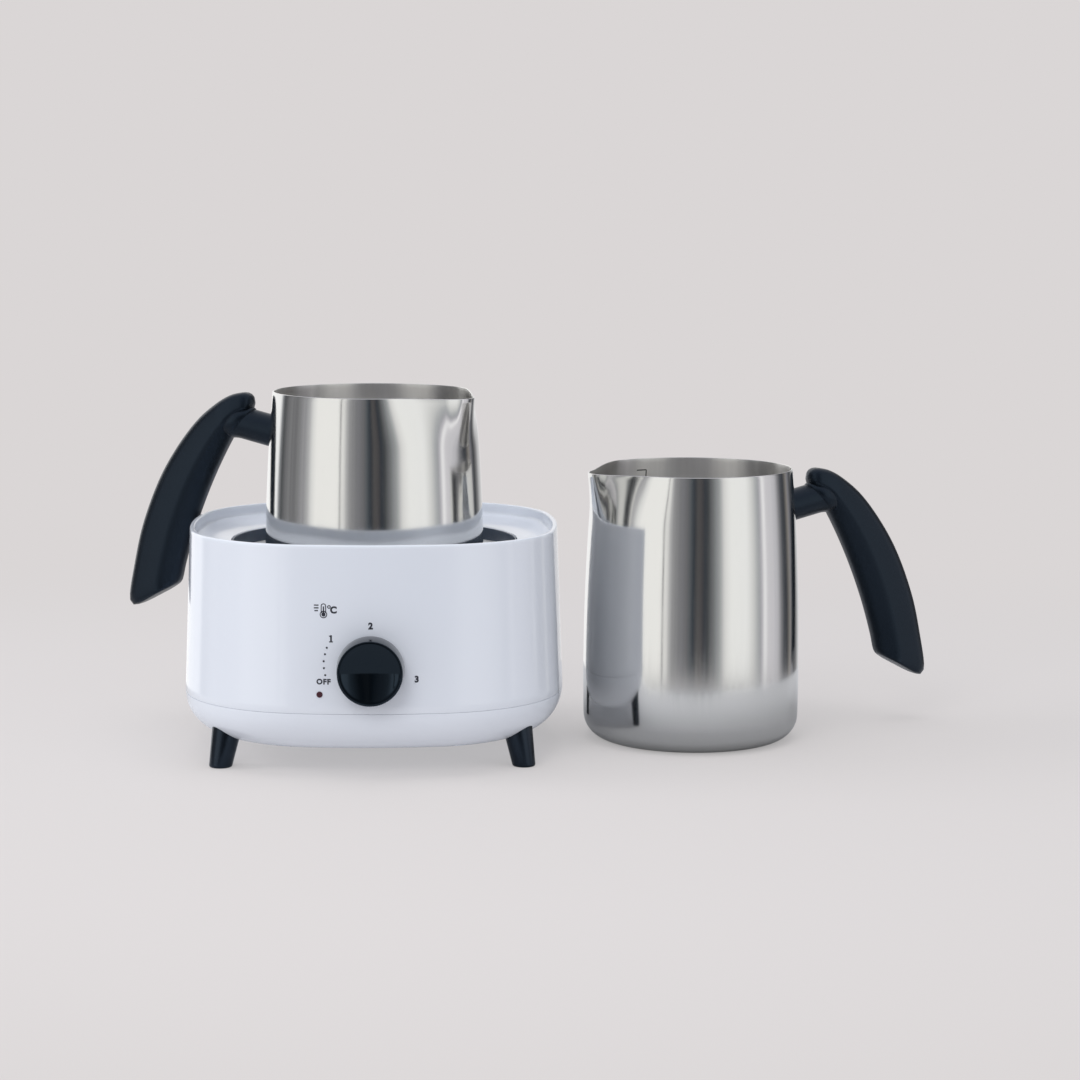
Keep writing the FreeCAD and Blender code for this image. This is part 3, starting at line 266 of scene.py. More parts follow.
def plastic(name, colour, roughness, tone=0.02, polish=0.03, size=60.0, grain=0.05, grain_size=900.0,
            dust=0.03, **constants):
    material, tree, surface = start_material(name, **constants)
    place = place_on_piece(tree)
    even = use(tree, TONE, {"Place": place, "Color": colour, "Roughness": roughness,
                            "Size": size, "Tone": tone, "Polish": polish})
    dusty = use(tree, DUST, {"Place": place, "Color": even.outputs["Color"], "Amount": dust})
    tree.links.new(dusty.outputs["Color"], surface.inputs["Base Color"])
    tree.links.new(even.outputs["Roughness"], surface.inputs["Roughness"])
    skin = use(tree, GRAIN, {"Place": place, "Size": grain_size})
    relief(tree, surface, skin.outputs["Height"], grain, PLASTIC_RELIEF)
    return material


def metal(name, colour, roughness, stretch=(1, 1, 1), fine=900.0, broad=160.0, lines=0.1, tone=0.05,
          polish=0.06, rough_lines=0.05, round_axis=None, streaks=(1, 1, 1), metallic=1.0, **constants):
    material, tree, surface = start_material(name, metallic=metallic, **constants)
    place = place_on_piece(tree, streaks)
    drawn = use(tree, LINES, {"Place": place_on_piece(tree, stretch), "Fine": fine, "Broad": broad})
    roughened = maths(tree, "ADD", maths(tree, "MULTIPLY", drawn.outputs["Mask"], rough_lines), roughness)
    even = use(tree, TONE, {"Place": place, "Color": colour, "Roughness": roughened,
                            "Size": 45.0, "Tone": tone, "Polish": polish})
    tree.links.new(even.outputs["Color"], surface.inputs["Base Color"])
    tree.links.new(even.outputs["Roughness"], surface.inputs["Roughness"])
    relief(tree, surface, drawn.outputs["Height"], lines, METAL_RELIEF)
    if round_axis:
        grain_way = put(tree, "ShaderNodeTangent", direction_type="RADIAL", axis=round_axis)
        tree.links.new(grain_way.outputs[0], surface.inputs["Tangent"])
    return material


def make_finishes():
    finish = {
        "housing_white": plastic("white_housing_plastic", linear(229, 235, 245), 0.07, tone=0.006, polish=0.015,
                                 grain=0.02, grain_size=350.0, dust=0.02, specular_ior_level=0.5),
        "handle_black": plastic("black_handle_plastic", linear(7, 12, 18), 0.33, tone=0.12, polish=0.08,
                                size=90.0, grain=0.3, grain_size=1500.0, dust=0.015, specular_ior_level=0.5,
                                specular_tint=(0.40, 0.55, 0.76)),
        "knob_black": plastic("black_knob_plastic", linear(6, 9, 12), 0.06, tone=0.06, polish=0.02, grain=0.01,
                              dust=0.0, specular_ior_level=0.5, specular_tint=(0.46, 0.66, 0.90)),
        "foot_black": plastic("black_foot_plastic", linear(10, 14, 19), 0.2, tone=0.06, polish=0.05, grain=0.06,
                              specular_tint=(0.50, 0.66, 0.90)),
        "ring_black": plastic("dark_ring_plastic", linear(66, 76, 90), 0.30, tone=0.05, grain=0.1,
                              specular_tint=(0.7, 0.82, 1.0)),
        "fitting_black": plastic("black_fitting_plastic", linear(38, 38, 40), 0.5, tone=0.05, grain=0.2),
        "rubber_black": plastic("black_rubber", linear(30, 30, 31), 0.62, tone=0.08, grain=0.3, dust=0.1),
        "control_brown": plastic("brown_control_plastic", linear(110, 84, 62), 0.45, tone=0.1, grain=0.2),
        "block_cream": plastic("cream_ceramic", linear(228, 224, 212), 0.5, tone=0.03, grain=0.15),
        "insulation": plastic("felted_insulation", linear(232, 230, 221), 0.95, tone=0.08, polish=0.0, size=240.0,
                              grain=1.0, grain_size=700.0),
        "wire_sleeve": plastic("silicone_wire_sleeve", linear(186, 97, 80), 0.42, tone=0.05, grain=0.1),
        "lens_red": plastic("red_lens", linear(66, 16, 26), 0.12, tone=0.05, grain=0.0, coat_weight=0.4,
                            specular_tint=(0.8, 0.8, 1.0)),
        "well_metal": metal("spun_aluminium", (0.90, 0.91, 0.91), 0.42, (1, 1, 8), metallic=0.35),
        "plate_aluminium": metal("cast_aluminium", (0.66, 0.66, 0.67), 0.5, lines=0.4),
        "element_steel": metal("heat_tinted_steel", (0.32, 0.29, 0.26), 0.42),
        "shield_steel": metal("folded_steel_sheet", (0.55, 0.55, 0.55), 0.32, (0.1, 1, 1)),
        "screw_steel": metal("zinc_plated_steel", (0.52, 0.52, 0.53), 0.3),
        "brass": metal("turned_brass", (0.72, 0.55, 0.25), 0.26, (1, 1, 12)),
        "jug_steel": metal("polished_steel", (0.66, 0.66, 0.65), 0.09, (1, 1, 0.03), fine=700.0, broad=90.0,
                           lines=0.02, tone=0.02, polish=0.02, rough_lines=0.03),
    }
    glass, tree, surface = start_material("lamp_glass", transmission_weight=0.9, ior=1.45)
    place = place_on_piece(tree)
    even = use(tree, TONE, {"Place": place, "Color": (0.95, 0.85, 0.8), "Roughness": 0.05, "Size": 300.0})
    tree.links.new(even.outputs["Color"], surface.inputs["Base Color"])
    tree.links.new(even.outputs["Roughness"], surface.inputs["Roughness"])
    finish["lamp_glass"] = glass
    return finish


FINISH = make_finishes()
# brushed inside steel: its tone (0.18) runs in long upright streaks that are brushing marks and also painted
# reflection, standing in for bright and dark bands mirrored in the wall
JUG_INSIDE = metal("brushed_steel_inside", (0.80, 0.79, 0.77), 0.33, (3, 3, 220), fine=12.0, broad=3.0,
                   lines=0.05, tone=0.18, polish=0.03, rough_lines=0.03, round_axis="Z",
                   streaks=(1.6, 1.6, 0.04), anisotropic=1.0, anisotropic_rotation=0.25)
ETCHED_LINE = metal("etched_line", (0.10, 0.10, 0.10), 0.6)
PRINT_INK = plastic("printed_slate_ink", linear(44, 46, 58), 0.4, tone=0.05, grain=0.05, dust=0.0)

# ---------------- studio

BACKDROP = linear(218, 214, 214)
FLOOR_PAPER = (0.385, 0.365, 0.362)
# in gloss the paper is darker near the second jug: its real shadow there is deepened by painted shade, a darker
# tone standing in for the contact shadow; further off it is lighter
FLOOR_PAINTED_SHADE_IN_GLOSS = (0.45, 0.455, 0.47)
FLOOR_FAR_IN_GLOSS = (0.70, 0.71, 0.73)
FLOOR_GLOW = 0.34
FLOOR_GLOW_IN_GLOSS = 0.04
FLOOR_GLOW_COLOUR = (1.0, 0.985, 0.985)
FLOOR_R = 1.6
FLOOR_FADE = (0.30, 0.75)
PAINTED_SHADE_NEAR_TO_FAR = (0.08, 0.2)
JUG_FLOOR_R, BASE_FLOOR_R = 0.225, 0.15      # how far gloss sees the paper round the second jug and the base
GLOSS_FADE = (-0.006, 0.008)
FLOOR_MIDDLE = Vector((0.06, 0.0, 0.0))

# tall soft boxes and dark gaps round the set: degrees from the front, to the right, and their colour
FRONT_BANDS = (
    (-96, 0.20, 0.20, 0.21), (-88, 0.32, 0.32, 0.33), (-80, 0.42, 0.42, 0.44), (-75, 0.55, 0.55, 0.56),
    (-70, 0.98, 0.98, 0.97), (-64, 1.19, 1.18, 1.15), (-38, 1.20, 1.19, 1.16), (-32, 1.05, 1.04, 1.02),
    (-28, 0.50, 0.50, 0.51), (-22, 0.32, 0.32, 0.33), (-15, 0.25, 0.25, 0.27), (-10, 0.19, 0.19, 0.20),
    (-6, 0.10, 0.115, 0.13), (-3, 0.035, 0.045, 0.06), (1, 0.11, 0.105, 0.105), (6, 0.09, 0.085, 0.09),
    (9, 0.035, 0.045, 0.06), (13, 0.09, 0.095, 0.10), (17, 0.19, 0.195, 0.205), (25, 0.44, 0.46, 0.47),
    (31, 0.98, 0.97, 0.96), (38, 1.16, 1.16, 1.14), (57, 1.15, 1.15, 1.14), (64, 0.90, 0.90, 0.89),
    (72, 0.50, 0.52, 0.54), (77, 0.62, 0.60, 0.65), (79, 1.15, 1.14, 1.16), (82, 1.12, 1.11, 1.13),
    (84, 0.84, 0.82, 0.86), (100, 0.76, 0.75, 0.79),
)
REAR_BANDS = (
    (-180, 0.95, 0.94, 0.94), (-160, 1.15, 1.15, 1.15), (-127, 1.25, 1.25, 1.25), (-122, 0.30, 0.31, 0.33),
    (-117, 0.09, 0.095, 0.10), (-110, 0.20, 0.20, 0.21), (-104, 0.28, 0.28, 0.29), (-92, 0.20, 0.20, 0.21),
    (92, 0.80, 0.79, 0.83), (101, 0.66, 0.65, 0.69), (106, 0.34, 0.34, 0.36), (112, 0.10, 0.105, 0.12),
    (119, 0.05, 0.055, 0.065), (126, 0.30, 0.28, 0.26), (131, 0.26, 0.26, 0.29), (138, 0.06, 0.065, 0.07),
    (144, 0.20, 0.20, 0.21), (155, 0.60, 0.60, 0.61), (180, 0.95, 0.94, 0.94),
)
TO_REAR_FROM, TO_REAR_TO = 91, 96
SEAM_BETWEEN_BOXES = -35.8
SEAM_COLOUR = (0.22, 0.22, 0.23)
CEILING_IN_GLOSS = (0.76, 0.77, 0.83)
TABLE_IN_GLOSS = (0.62, 0.61, 0.62)
CEILING_FROM_TO, TABLE_FROM_TO = (0.45, 0.75), (-0.176, -0.182)     # heights of the view's direction
DOME = ((0.0, (0.56, 0.55, 0.56)), (0.4, (0.51, 0.51, 0.53)), (1.0, (0.66, 0.66, 0.69)))


def make_panels(tree, angle):
    """The tall panels' colour by direction, with a thin seam and fine upright streaks in the dark ones."""
    share = maths(tree, "ADD", maths(tree, "DIVIDE", angle, 2.0 * math.pi), 0.5)
    front, rear = (ramp(tree, share, [((degrees + 180.0) / 360.0, colour) for degrees, *colour in bands])
                   for bands in (FRONT_BANDS, REAR_BANDS))
    to_rear = span(tree, maths(tree, "ABSOLUTE", angle), math.radians(TO_REAR_FROM), math.radians(TO_REAR_TO))
    panels = blend_colour(tree, to_rear, front, rear)
    from_seam = maths(tree, "ABSOLUTE", maths(tree, "SUBTRACT", angle, math.radians(SEAM_BETWEEN_BOXES)))
    panels = blend_colour(tree, span(tree, from_seam, 0.006, 0.02), SEAM_COLOUR, panels)
    streaks = put(tree, "ShaderNodeTexNoise",
                  {"W": maths(tree, "MULTIPLY", angle, 26.0), "Scale": 1.0, "Detail": 5.0, "Roughness": 0.7},
                  noise_dimensions="1D").outputs["Fac"]
    bright = put(tree, "ShaderNodeRGBToBW", {"Color": panels}).outputs[0]
    depth = span(tree, bright, 0.3, 0.95, 0.55, 0.03)
    gain = maths(tree, "ADD", maths(tree, "MULTIPLY", maths(tree, "SUBTRACT", streaks, 0.5),
                                    maths(tree, "MULTIPLY", depth, 2.4)), 1.0)
    return put(tree, "ShaderNodeVectorMath", {0: panels, "Scale": gain}, operation="SCALE").outputs[0]


def make_room():
    """Plain backdrop for the eye, soft boxes and dark gaps for gloss, an even dome for the rest."""
    world = bpy.data.worlds.new("studio_room")
    bpy.context.scene.world = world
    world.use_nodes = True
    tree = world.node_tree
    tree.nodes.clear()
    way = put(tree, "ShaderNodeTexCoord").outputs["Generated"]
    across, along, height = put(tree, "ShaderNodeSeparateXYZ", {"Vector": way}).outputs
    panels = make_panels(tree, maths(tree, "ARCTAN2", across, maths(tree, "MULTIPLY", along, -1.0)))
    low_room = blend_colour(tree, span(tree, height, *TABLE_FROM_TO), panels, TABLE_IN_GLOSS)
    gloss_colour = blend_colour(tree, span(tree, height, *CEILING_FROM_TO), low_room, CEILING_IN_GLOSS)
    dome = ramp(tree, span(tree, height, -0.6, 0.9, smooth=False), DOME)
    ray = put(tree, "ShaderNodeLightPath")
    seen = blend_colour(tree, ray.outputs["Is Camera Ray"], dome, BACKDROP)
    through = maths(tree, "MAXIMUM", ray.outputs["Is Glossy Ray"], ray.outputs["Is Transmission Ray"])
    colour = blend_colour(tree, through, seen, gloss_colour)
    light = put(tree, "ShaderNodeBackground", {"Color": colour, "Strength": 1.0})
    put(tree, "ShaderNodeOutputWorld", {"Surface": light.outputs[0]})


WARM_WHITE = (1.0, 0.995, 0.985)
SOFT_BOXES = (
    ("side_soft_box", (-1.85, -0.05, 0.85), (0.02, 0, 0.08), 0.9, 11.0, WARM_WHITE),
    ("front_soft_box", (-0.55, -1.6, 1.25), (0.02, 0, 0.08), 1.0, 8.0, WARM_WHITE),
    ("top_soft_box", (0.05, -0.25, 1.9), (0.05, 0, 0.08), 1.5, 7.5, (1, 1, 1)),
    ("fill_soft_box", (1.5, -1.0, 0.7), (0.05, 0, 0.08), 0.9, 1.6, (1, 1, 1)),
)


def soft_box(name, place, aim, size, power, colour):
    """A round lamp of a size in metres and a power in watts, seen neither directly nor in gloss."""
    lamp = bpy.data.lights.new(name, "AREA")
    lamp.shape = "DISK"
    lamp.size = size
    lamp.energy = power
    lamp.color = colour
    made = bpy.data.objects.new(name, lamp)
    bpy.context.scene.collection.objects.link(made)
    made.location = place
    made.rotation_euler = (Vector(aim) - Vector(place)).to_track_quat("-Z", "Y").to_euler()
    made.visible_glossy = False
    made.visible_camera = False


def distance_from(tree, where, place):
    offset = put(tree, "ShaderNodeVectorMath", {0: where, 1: place}, operation="SUBTRACT").outputs[0]
    return put(tree, "ShaderNodeVectorMath", {0: offset}, operation="LENGTH").outputs["Value"]


def make_floor():
    """Paper that keeps the shadows, glows evenly and fades into the backdrop; in gloss it has its own tones, with
    painted shade near the second jug.
    """
    plan = bmesh.new()
    bmesh.ops.create_circle(plan, cap_ends=True, segments=128, radius=FLOOR_R)
    move(plan, FLOOR_MIDDLE)
    mesh = bpy.data.meshes.new("studio_floor")
    plan.to_mesh(mesh)
    plan.free()
    floor = bpy.data.objects.new("studio_floor", mesh)
    bpy.context.scene.collection.objects.link(floor)
    material, tree = bare_material("studio_floor_paper")
    where = put(tree, "ShaderNodeTexCoord").outputs["Object"]
    ray = put(tree, "ShaderNodeLightPath")
    in_gloss = ray.outputs["Is Glossy Ray"]
    from_jug = distance_from(tree, where, JUG_2_PLACE * MM)
    # painted shade: seen in gloss, the paper darkens towards the second jug's foot
    gloss_tone_with_painted_shade = blend_colour(tree, span(tree, from_jug, *PAINTED_SHADE_NEAR_TO_FAR), FLOOR_PAINTED_SHADE_IN_GLOSS,
                              FLOOR_FAR_IN_GLOSS)
    tone = blend_colour(tree, in_gloss, FLOOR_PAPER, gloss_tone_with_painted_shade)
    matt = put(tree, "ShaderNodeBsdfDiffuse", {"Color": tone})
    glow = blend(tree, in_gloss, FLOOR_GLOW, FLOOR_GLOW_IN_GLOSS)
    lit = put(tree, "ShaderNodeEmission", {"Color": FLOOR_GLOW_COLOUR, "Strength": glow})
    paper = put(tree, "ShaderNodeAddShader", {0: matt.outputs[0], 1: lit.outputs[0]})
    plain = put(tree, "ShaderNodeEmission", {"Color": BACKDROP, "Strength": 1.0})
    clear = put(tree, "ShaderNodeBsdfTransparent")
    far = put(tree, "ShaderNodeMixShader", {0: ray.outputs["Is Camera Ray"], 1: clear.outputs[0],
                                            2: plain.outputs[0]})
    fade = span(tree, distance_from(tree, where, FLOOR_MIDDLE), *FLOOR_FADE)
    beyond_jug = maths(tree, "SUBTRACT", from_jug, JUG_FLOOR_R)
    beyond_base = maths(tree, "SUBTRACT", distance_from(tree, where, Vector((0, 0, 0))), BASE_FLOOR_R)
    gloss_fade = span(tree, maths(tree, "MINIMUM", beyond_jug, beyond_base), *GLOSS_FADE)
    share = blend(tree, in_gloss, fade, gloss_fade)
    surface = put(tree, "ShaderNodeMixShader", {0: share, 1: paper.outputs[0], 2: far.outputs[0]})
    put(tree, "ShaderNodeOutputMaterial", {"Surface": surface.outputs[0]})
    mesh.materials.append(material)


# ---------------- shaping helpers


def only(kind, geometry):
    return [item for item in geometry if isinstance(item, kind)]


def next_ring(shape, edges):
    """Extrudes a loop of edges on the spot and returns the new loop."""
    made = bmesh.ops.extrude_edge_only(shape, edges=edges)["geom"]
    return only(bmesh.types.BMVert, made), only(bmesh.types.BMEdge, made)


def swing(shape, last, centre, axis, angle, steps):
    """Draws an arc on from the last point or profile."""
    made = bmesh.ops.spin(shape, geom=last, cent=centre, axis=axis, dvec=(0, 0, 0), angle=angle, steps=steps,
                          use_merge=False, use_normal_flip=False, use_duplicate=False)
    return made["geom_last"]


def draw_line(shape, points):
    """Draws an open outline through points and returns its vertices in order."""
    made = [shape.verts.new(point) for point in points]
    for start, end in zip(made, made[1:]):
        shape.edges.new((start, end))
    return made


def draw_loop(shape, points):
    made = draw_line(shape, points)
    shape.edges.new((made[-1], made[0]))
    return made


def round_corners(shape, corners, size, segments=5):
    bmesh.ops.bevel(shape, geom=corners, offset=size, offset_type="OFFSET", segments=segments, profile=0.5,
                    affect="VERTICES", material=-1)


def turned(shape, axis, steps):
    """Turns the whole profile once round an axis through the origin into a closed skin."""
    bmesh.ops.spin(shape, geom=list(shape.verts) + list(shape.edges), cent=(0, 0, 0), axis=axis, dvec=(0, 0, 0),
                   angle=2 * math.pi, steps=steps, use_merge=True, use_normal_flip=False, use_duplicate=False)
    weld(shape)


def weld(shape, gap=0.0005):
    bmesh.ops.remove_doubles(shape, verts=shape.verts, dist=gap)


def face_out(shape):
    bmesh.ops.recalc_face_normals(shape, faces=shape.faces)


def rotate(shape, angle, axis):
    bmesh.ops.rotate(shape, verts=shape.verts, matrix=Matrix.Rotation(angle, 3, axis))


def move(shape, way):
    bmesh.ops.translate(shape, verts=shape.verts, vec=way)


def stretch(shape, factors):
    bmesh.ops.scale(shape, verts=shape.verts, vec=factors)


def round_edges(shape, edges, size, segments=3):
    return bmesh.ops.bevel(shape, geom=edges, offset=size, offset_type="OFFSET", segments=segments, profile=0.5,
                           affect="EDGES", clamp_overlap=True, material=-1)


def eased(value, low, high):
    share = min(1.0, max(0.0, (value - low) / (high - low)))
    return share * share * (3 - 2 * share)


def finish_piece(name, shape, body, materials, replaces=(), smooth=True, crease=35.0):
    """Scales a shape drawn in millimetres, makes it an object and hangs it on its body."""
    stretch(shape, (MM, MM, MM))
    mesh = bpy.data.meshes.new(name)
    shape.to_mesh(mesh)
    shape.free()
    for face in mesh.polygons:
        face.use_smooth = smooth
    if smooth:
        mesh.set_sharp_from_angle(angle=math.radians(crease))
    for material in materials:
        mesh.materials.append(material)
    made = bpy.data.objects.new(name, mesh)
    bpy.context.scene.collection.objects.link(made)
    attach(made, body)
    if replaces:
        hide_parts(*replaces)
    return made


# ---------------- housing

HOUSING_HALF = 94.2
SIDE_R = 236.0
CORNER_R = 67.7
PARTING_Z = 32.0
RIM_Z = 112.0
RIM_DRAFT = 3.0
WALL = 2.4
DECK_HOLE_R = 71.2
DECK_Z = 103.6
DECK_RISE = 0.11
DECK_FOOT = 1.6
SIDE_STEPS = 16
CORNER_STEPS = 26
WALL_LEVELS = (36.0, 38.5, 44.0, 49.5, 53.5, 57.5, 64, 71, 78, 85, 92, 98)
RIM_LEVELS = (103, 107, 110, 111.2)
RIM_EDGE = ((0.11, 111.6), (0.36, 111.88), (0.8, RIM_Z), (1.6, RIM_Z), (2.04, 111.88), (2.29, 111.6),
            (WALL, 111.2), (WALL, 109.5))     # inset from the rim's outside, and height
DECK_SHARES = (0.2, 0.45, 0.7, 0.9, 0.985)
WINDOWS = ((1, 38.5, 49.5), (-1, 49.5, 57.5))   # rear or front, low and high: behind the inlet and the knob
WINDOW_HALF = 4.5
SIDE_CENTRE = HOUSING_HALF - SIDE_R
CORNER_CENTRE = (SIDE_CENTRE + math.sqrt(2 * (SIDE_R - CORNER_R) ** 2 - SIDE_CENTRE ** 2)) / 2
SIDE_TURN = math.atan2(CORNER_CENTRE, CORNER_CENTRE - SIDE_CENTRE)


def draft_at(z):
    return RIM_DRAFT * (z - PARTING_Z) / (RIM_Z - PARTING_Z)


def draw_outline(shape):
    """The housing's plan at the parting line: four long side arcs joined by four corner arcs."""
    last = [shape.verts.new((SIDE_CENTRE + SIDE_R * math.cos(SIDE_TURN), -SIDE_R * math.sin(SIDE_TURN), 0))]
    for quarter in range(4):
        ahead = Vector((math.cos(quarter * math.pi / 2), math.sin(quarter * math.pi / 2), 0))
        aside = UP.cross(ahead)
        last = swing(shape, last, ahead * SIDE_CENTRE, UP, 2 * SIDE_TURN, SIDE_STEPS)
        last = swing(shape, only(bmesh.types.BMVert, last), (ahead + aside) * CORNER_CENTRE, UP,
                     math.pi / 2 - 2 * SIDE_TURN, CORNER_STEPS)
        last = only(bmesh.types.BMVert, last)
    weld(shape, 0.01)


def outward(point):
    """Which way the outline faces at one of its points."""
    corner = Vector((math.copysign(CORNER_CENTRE, point.x), math.copysign(CORNER_CENTRE, point.y), 0))
    away = point - corner
    if away.x * point.x > 0 and away.y * point.y > 0:
        angle = math.atan2(abs(away.y), abs(away.x))
        if SIDE_TURN <= angle <= math.pi / 2 - SIDE_TURN:
            return away.normalized()
    if abs(point.x) > abs(point.y):
        side = Vector((math.copysign(SIDE_CENTRE, -point.x), 0, 0))
    else:
        side = Vector((0, math.copysign(SIDE_CENTRE, -point.y), 0))
    return (point - side).normalized()


def housing_rings():
    """Inset, share of the way to the deck's hole, height, and whether the height counts from the deck."""
    inside = RIM_DRAFT + WALL
    deck = inside + DECK_FOOT
    rings = [(0.45, 0, PARTING_Z, False), (0.13, 0, PARTING_Z + 0.12, False)]
    rings += [(draft_at(z), 0, z, False) for z in (PARTING_Z + 0.45, *WALL_LEVELS, *RIM_LEVELS)]
    rings += [(RIM_DRAFT + inset, 0, height, False) for inset, height in RIM_EDGE]
    rings += [(inside - 0.1, 0, DECK_FOOT, True), (inside + 0.12, 0, DECK_FOOT * 0.5, True),
              (inside + 0.5, 0, DECK_FOOT * 0.18, True), (deck, 0, 0.0, True)]
    rings += [(deck, share, 0.0, True) for share in DECK_SHARES]
    rings += [(deck, 1, -0.35, True), (deck, 1, -WALL, True), (deck, 0.5, -WALL, True), (inside, 0, -WALL, True)]
    rings += [(draft_at(z) + WALL, 0, z, False) for z in (*reversed(WALL_LEVELS), PARTING_Z)]
    return rings


def open_window(shape, side, low, high):
    """Cuts a small opening through the wall behind a fitting that covers it."""
    inside = [face for face in shape.faces
              if abs(face.calc_center_median().x) < WINDOW_HALF and low < face.calc_center_median().z < high
              and face.calc_center_median().y * side > 80]
    bmesh.ops.delete(shape, geom=inside, context="FACES")
    bmesh.ops.bridge_loops(shape, edges=[edge for edge in shape.edges if len(edge.link_faces) == 1])


def make_upper_housing():
    shell = bmesh.new()
    draw_outline(shell)
    spoke = shell.verts.layers.int.new("spoke")
    spokes = []
    for index, vert in enumerate(shell.verts):
        vert[spoke] = index
        spokes.append((vert.co.copy(), outward(vert.co)))
    verts = list(shell.verts)
    first = edges = list(shell.edges)
    for index, (inset, share, height, from_deck) in enumerate(housing_rings()):
        if index:
            verts, edges = next_ring(shell, edges)
        for vert in verts:
            start, out = spokes[vert[spoke]]
            wall = start - out * inset
            hole = Vector((start.x, start.y, 0)).normalized() * DECK_HOLE_R
            place = wall.lerp(hole, share)
            lift = DECK_Z + DECK_RISE * (place.length - DECK_HOLE_R) if from_deck else 0.0
            vert.co = Vector((place.x, place.y, height + lift))
    bmesh.ops.bridge_loops(shell, edges=edges + first)
    for window in WINDOWS:
        open_window(shell, *window)
    weld(shell)
    face_out(shell)
    finish_piece("housing_shell", shell, "base", [FINISH["housing_white"]], replaces=["upper_housing"])


# ---------------- panel marks

INK_PROUD = 0.06
LETTER_WEIGHT = 0.05
LETTER_SPACING = 1.16
PANEL_TEXT = (("OFF", -22.1, 47.6, 2.75), ("1", -18.5, 68.0, 3.3), ("2", 0.1, 74.1, 3.3),
              ("3", 21.7, 48.7, 3.3), ("C", -17.3, 81.6, 3.5))     # text, x, z, capital height
DIAL_DOTS = ((-20.5, 63.7), (-21.4, 60.6), (-22.0, 57.3), (-21.9, 54.0), (-21.3, 50.7))
DIAL_DOT_R = 0.5
DEGREE_RING_R = 0.85
NUMERAL_1_STROKES = ((-19.0, 69.2, 0.9, 0.5), (-18.5, 66.5, 1.9, 0.5))
OUTLINE_WIDTH = 0.42
THERMOMETER_X, THERMOMETER_Z = -22.0, 81.3


def wall_front(x, z):
    """The front wall's Y at a place on the panel, in mm."""
    return -SIDE_CENTRE - math.sqrt((SIDE_R - draft_at(z)) ** 2 - x * x)


def lay_on_panel(shape):
    """Takes marks drawn flat in X and Z to the curved front wall."""
    for vert in shape.verts:
        vert.co.y += wall_front(vert.co.x, vert.co.z) - INK_PROUD


def add_mark(marks, own, x, z):
    """Stands one flat mark up on the panel and adds it to the rest."""
    rotate(own, math.pi / 2, "X")
    move(own, (x, 0, z))
    mesh = bpy.data.meshes.new("one_mark")
    own.to_mesh(mesh)
    own.free()
    marks.from_mesh(mesh)
    bpy.data.meshes.remove(mesh)


def letter_mark(marks, text, x, z, height):
    """Adds flat lettering of a given capital height, centred on a place."""
    curve = bpy.data.curves.new("mark_" + text, "FONT")
    curve.body = text
    curve.size = 1.0
    curve.resolution_u = 6
    curve.offset = LETTER_WEIGHT
    curve.space_character = LETTER_SPACING
    flat = bpy.data.objects.new("mark_" + text, curve)
    bpy.context.scene.collection.objects.link(flat)
    mesh = bpy.data.meshes.new_from_object(flat)
    bpy.data.objects.remove(flat)
    bpy.data.curves.remove(curve)
    own = bmesh.new()
    own.from_mesh(mesh)
    bpy.data.meshes.remove(mesh)
    low = [min(vert.co[axis] for vert in own.verts) for axis in (0, 1)]
    high = [max(vert.co[axis] for vert in own.verts) for axis in (0, 1)]
    grow = height / (high[1] - low[1])
    move(own, (-(low[0] + high[0]) / 2, -(low[1] + high[1]) / 2, 0))
    stretch(own, (grow, grow, 1))
    add_mark(marks, own, x, z)


def hollow_out(own, width):
    """Leaves only a line of the given width along a flat mark's edge."""
    face = list(own.faces)[0]
    bmesh.ops.inset_individual(own, faces=[face], thickness=width, use_even_offset=True)
    bmesh.ops.delete(own, geom=[face], context="FACES_ONLY")


def disc_mark(marks, x, z, radius, hollow=0.0):
    own = bmesh.new()
    bmesh.ops.create_circle(own, cap_ends=True, segments=24, radius=radius)
    if hollow:
        hollow_out(own, hollow)
    add_mark(marks, own, x, z)


def slab_mark(marks, x, z, length, height, rounding=0.0, hollow=0.0):
    own = bmesh.new()
    bmesh.ops.create_grid(own, x_segments=1, y_segments=1, size=0.5)
    stretch(own, (length, height, 1))
    if rounding:
        round_corners(own, list(own.verts), rounding)
    if hollow:
        hollow_out(own, hollow)
    add_mark(marks, own, x, z)


def make_panel_marks():
    """Dial marks, and a little thermometer with three strokes on its left and a degree sign on its right."""
    marks = bmesh.new()
    for text, x, z, height in PANEL_TEXT:
        letter_mark(marks, text, x, z, height)
    for x, z in DIAL_DOTS:
        disc_mark(marks, x, z, DIAL_DOT_R)
    disc_mark(marks, THERMOMETER_X + 2.6, THERMOMETER_Z + 1.7, DEGREE_RING_R, hollow=OUTLINE_WIDTH + 0.03)
    for x, z, length, height in NUMERAL_1_STROKES:
        slab_mark(marks, x, z, length, height)
    slab_mark(marks, THERMOMETER_X, THERMOMETER_Z + 0.9, 2.5, 4.9, rounding=1.2, hollow=OUTLINE_WIDTH)
    disc_mark(marks, THERMOMETER_X, THERMOMETER_Z - 1.9, 1.75, hollow=OUTLINE_WIDTH)
    disc_mark(marks, THERMOMETER_X, THERMOMETER_Z - 1.9, 0.95)
    slab_mark(marks, THERMOMETER_X, THERMOMETER_Z + 0.1, 0.6, 3.6)
    for step, length in ((-1, 1.7), (0, 2.2), (1, 2.2)):
        slab_mark(marks, THERMOMETER_X - 3.4, THERMOMETER_Z + 1.2 + step * 1.3, length, 0.55)
    lay_on_panel(marks)
    finish_piece("panel_scale_marks", marks, "base", [PRINT_INK], smooth=False)


# ---------------- knob

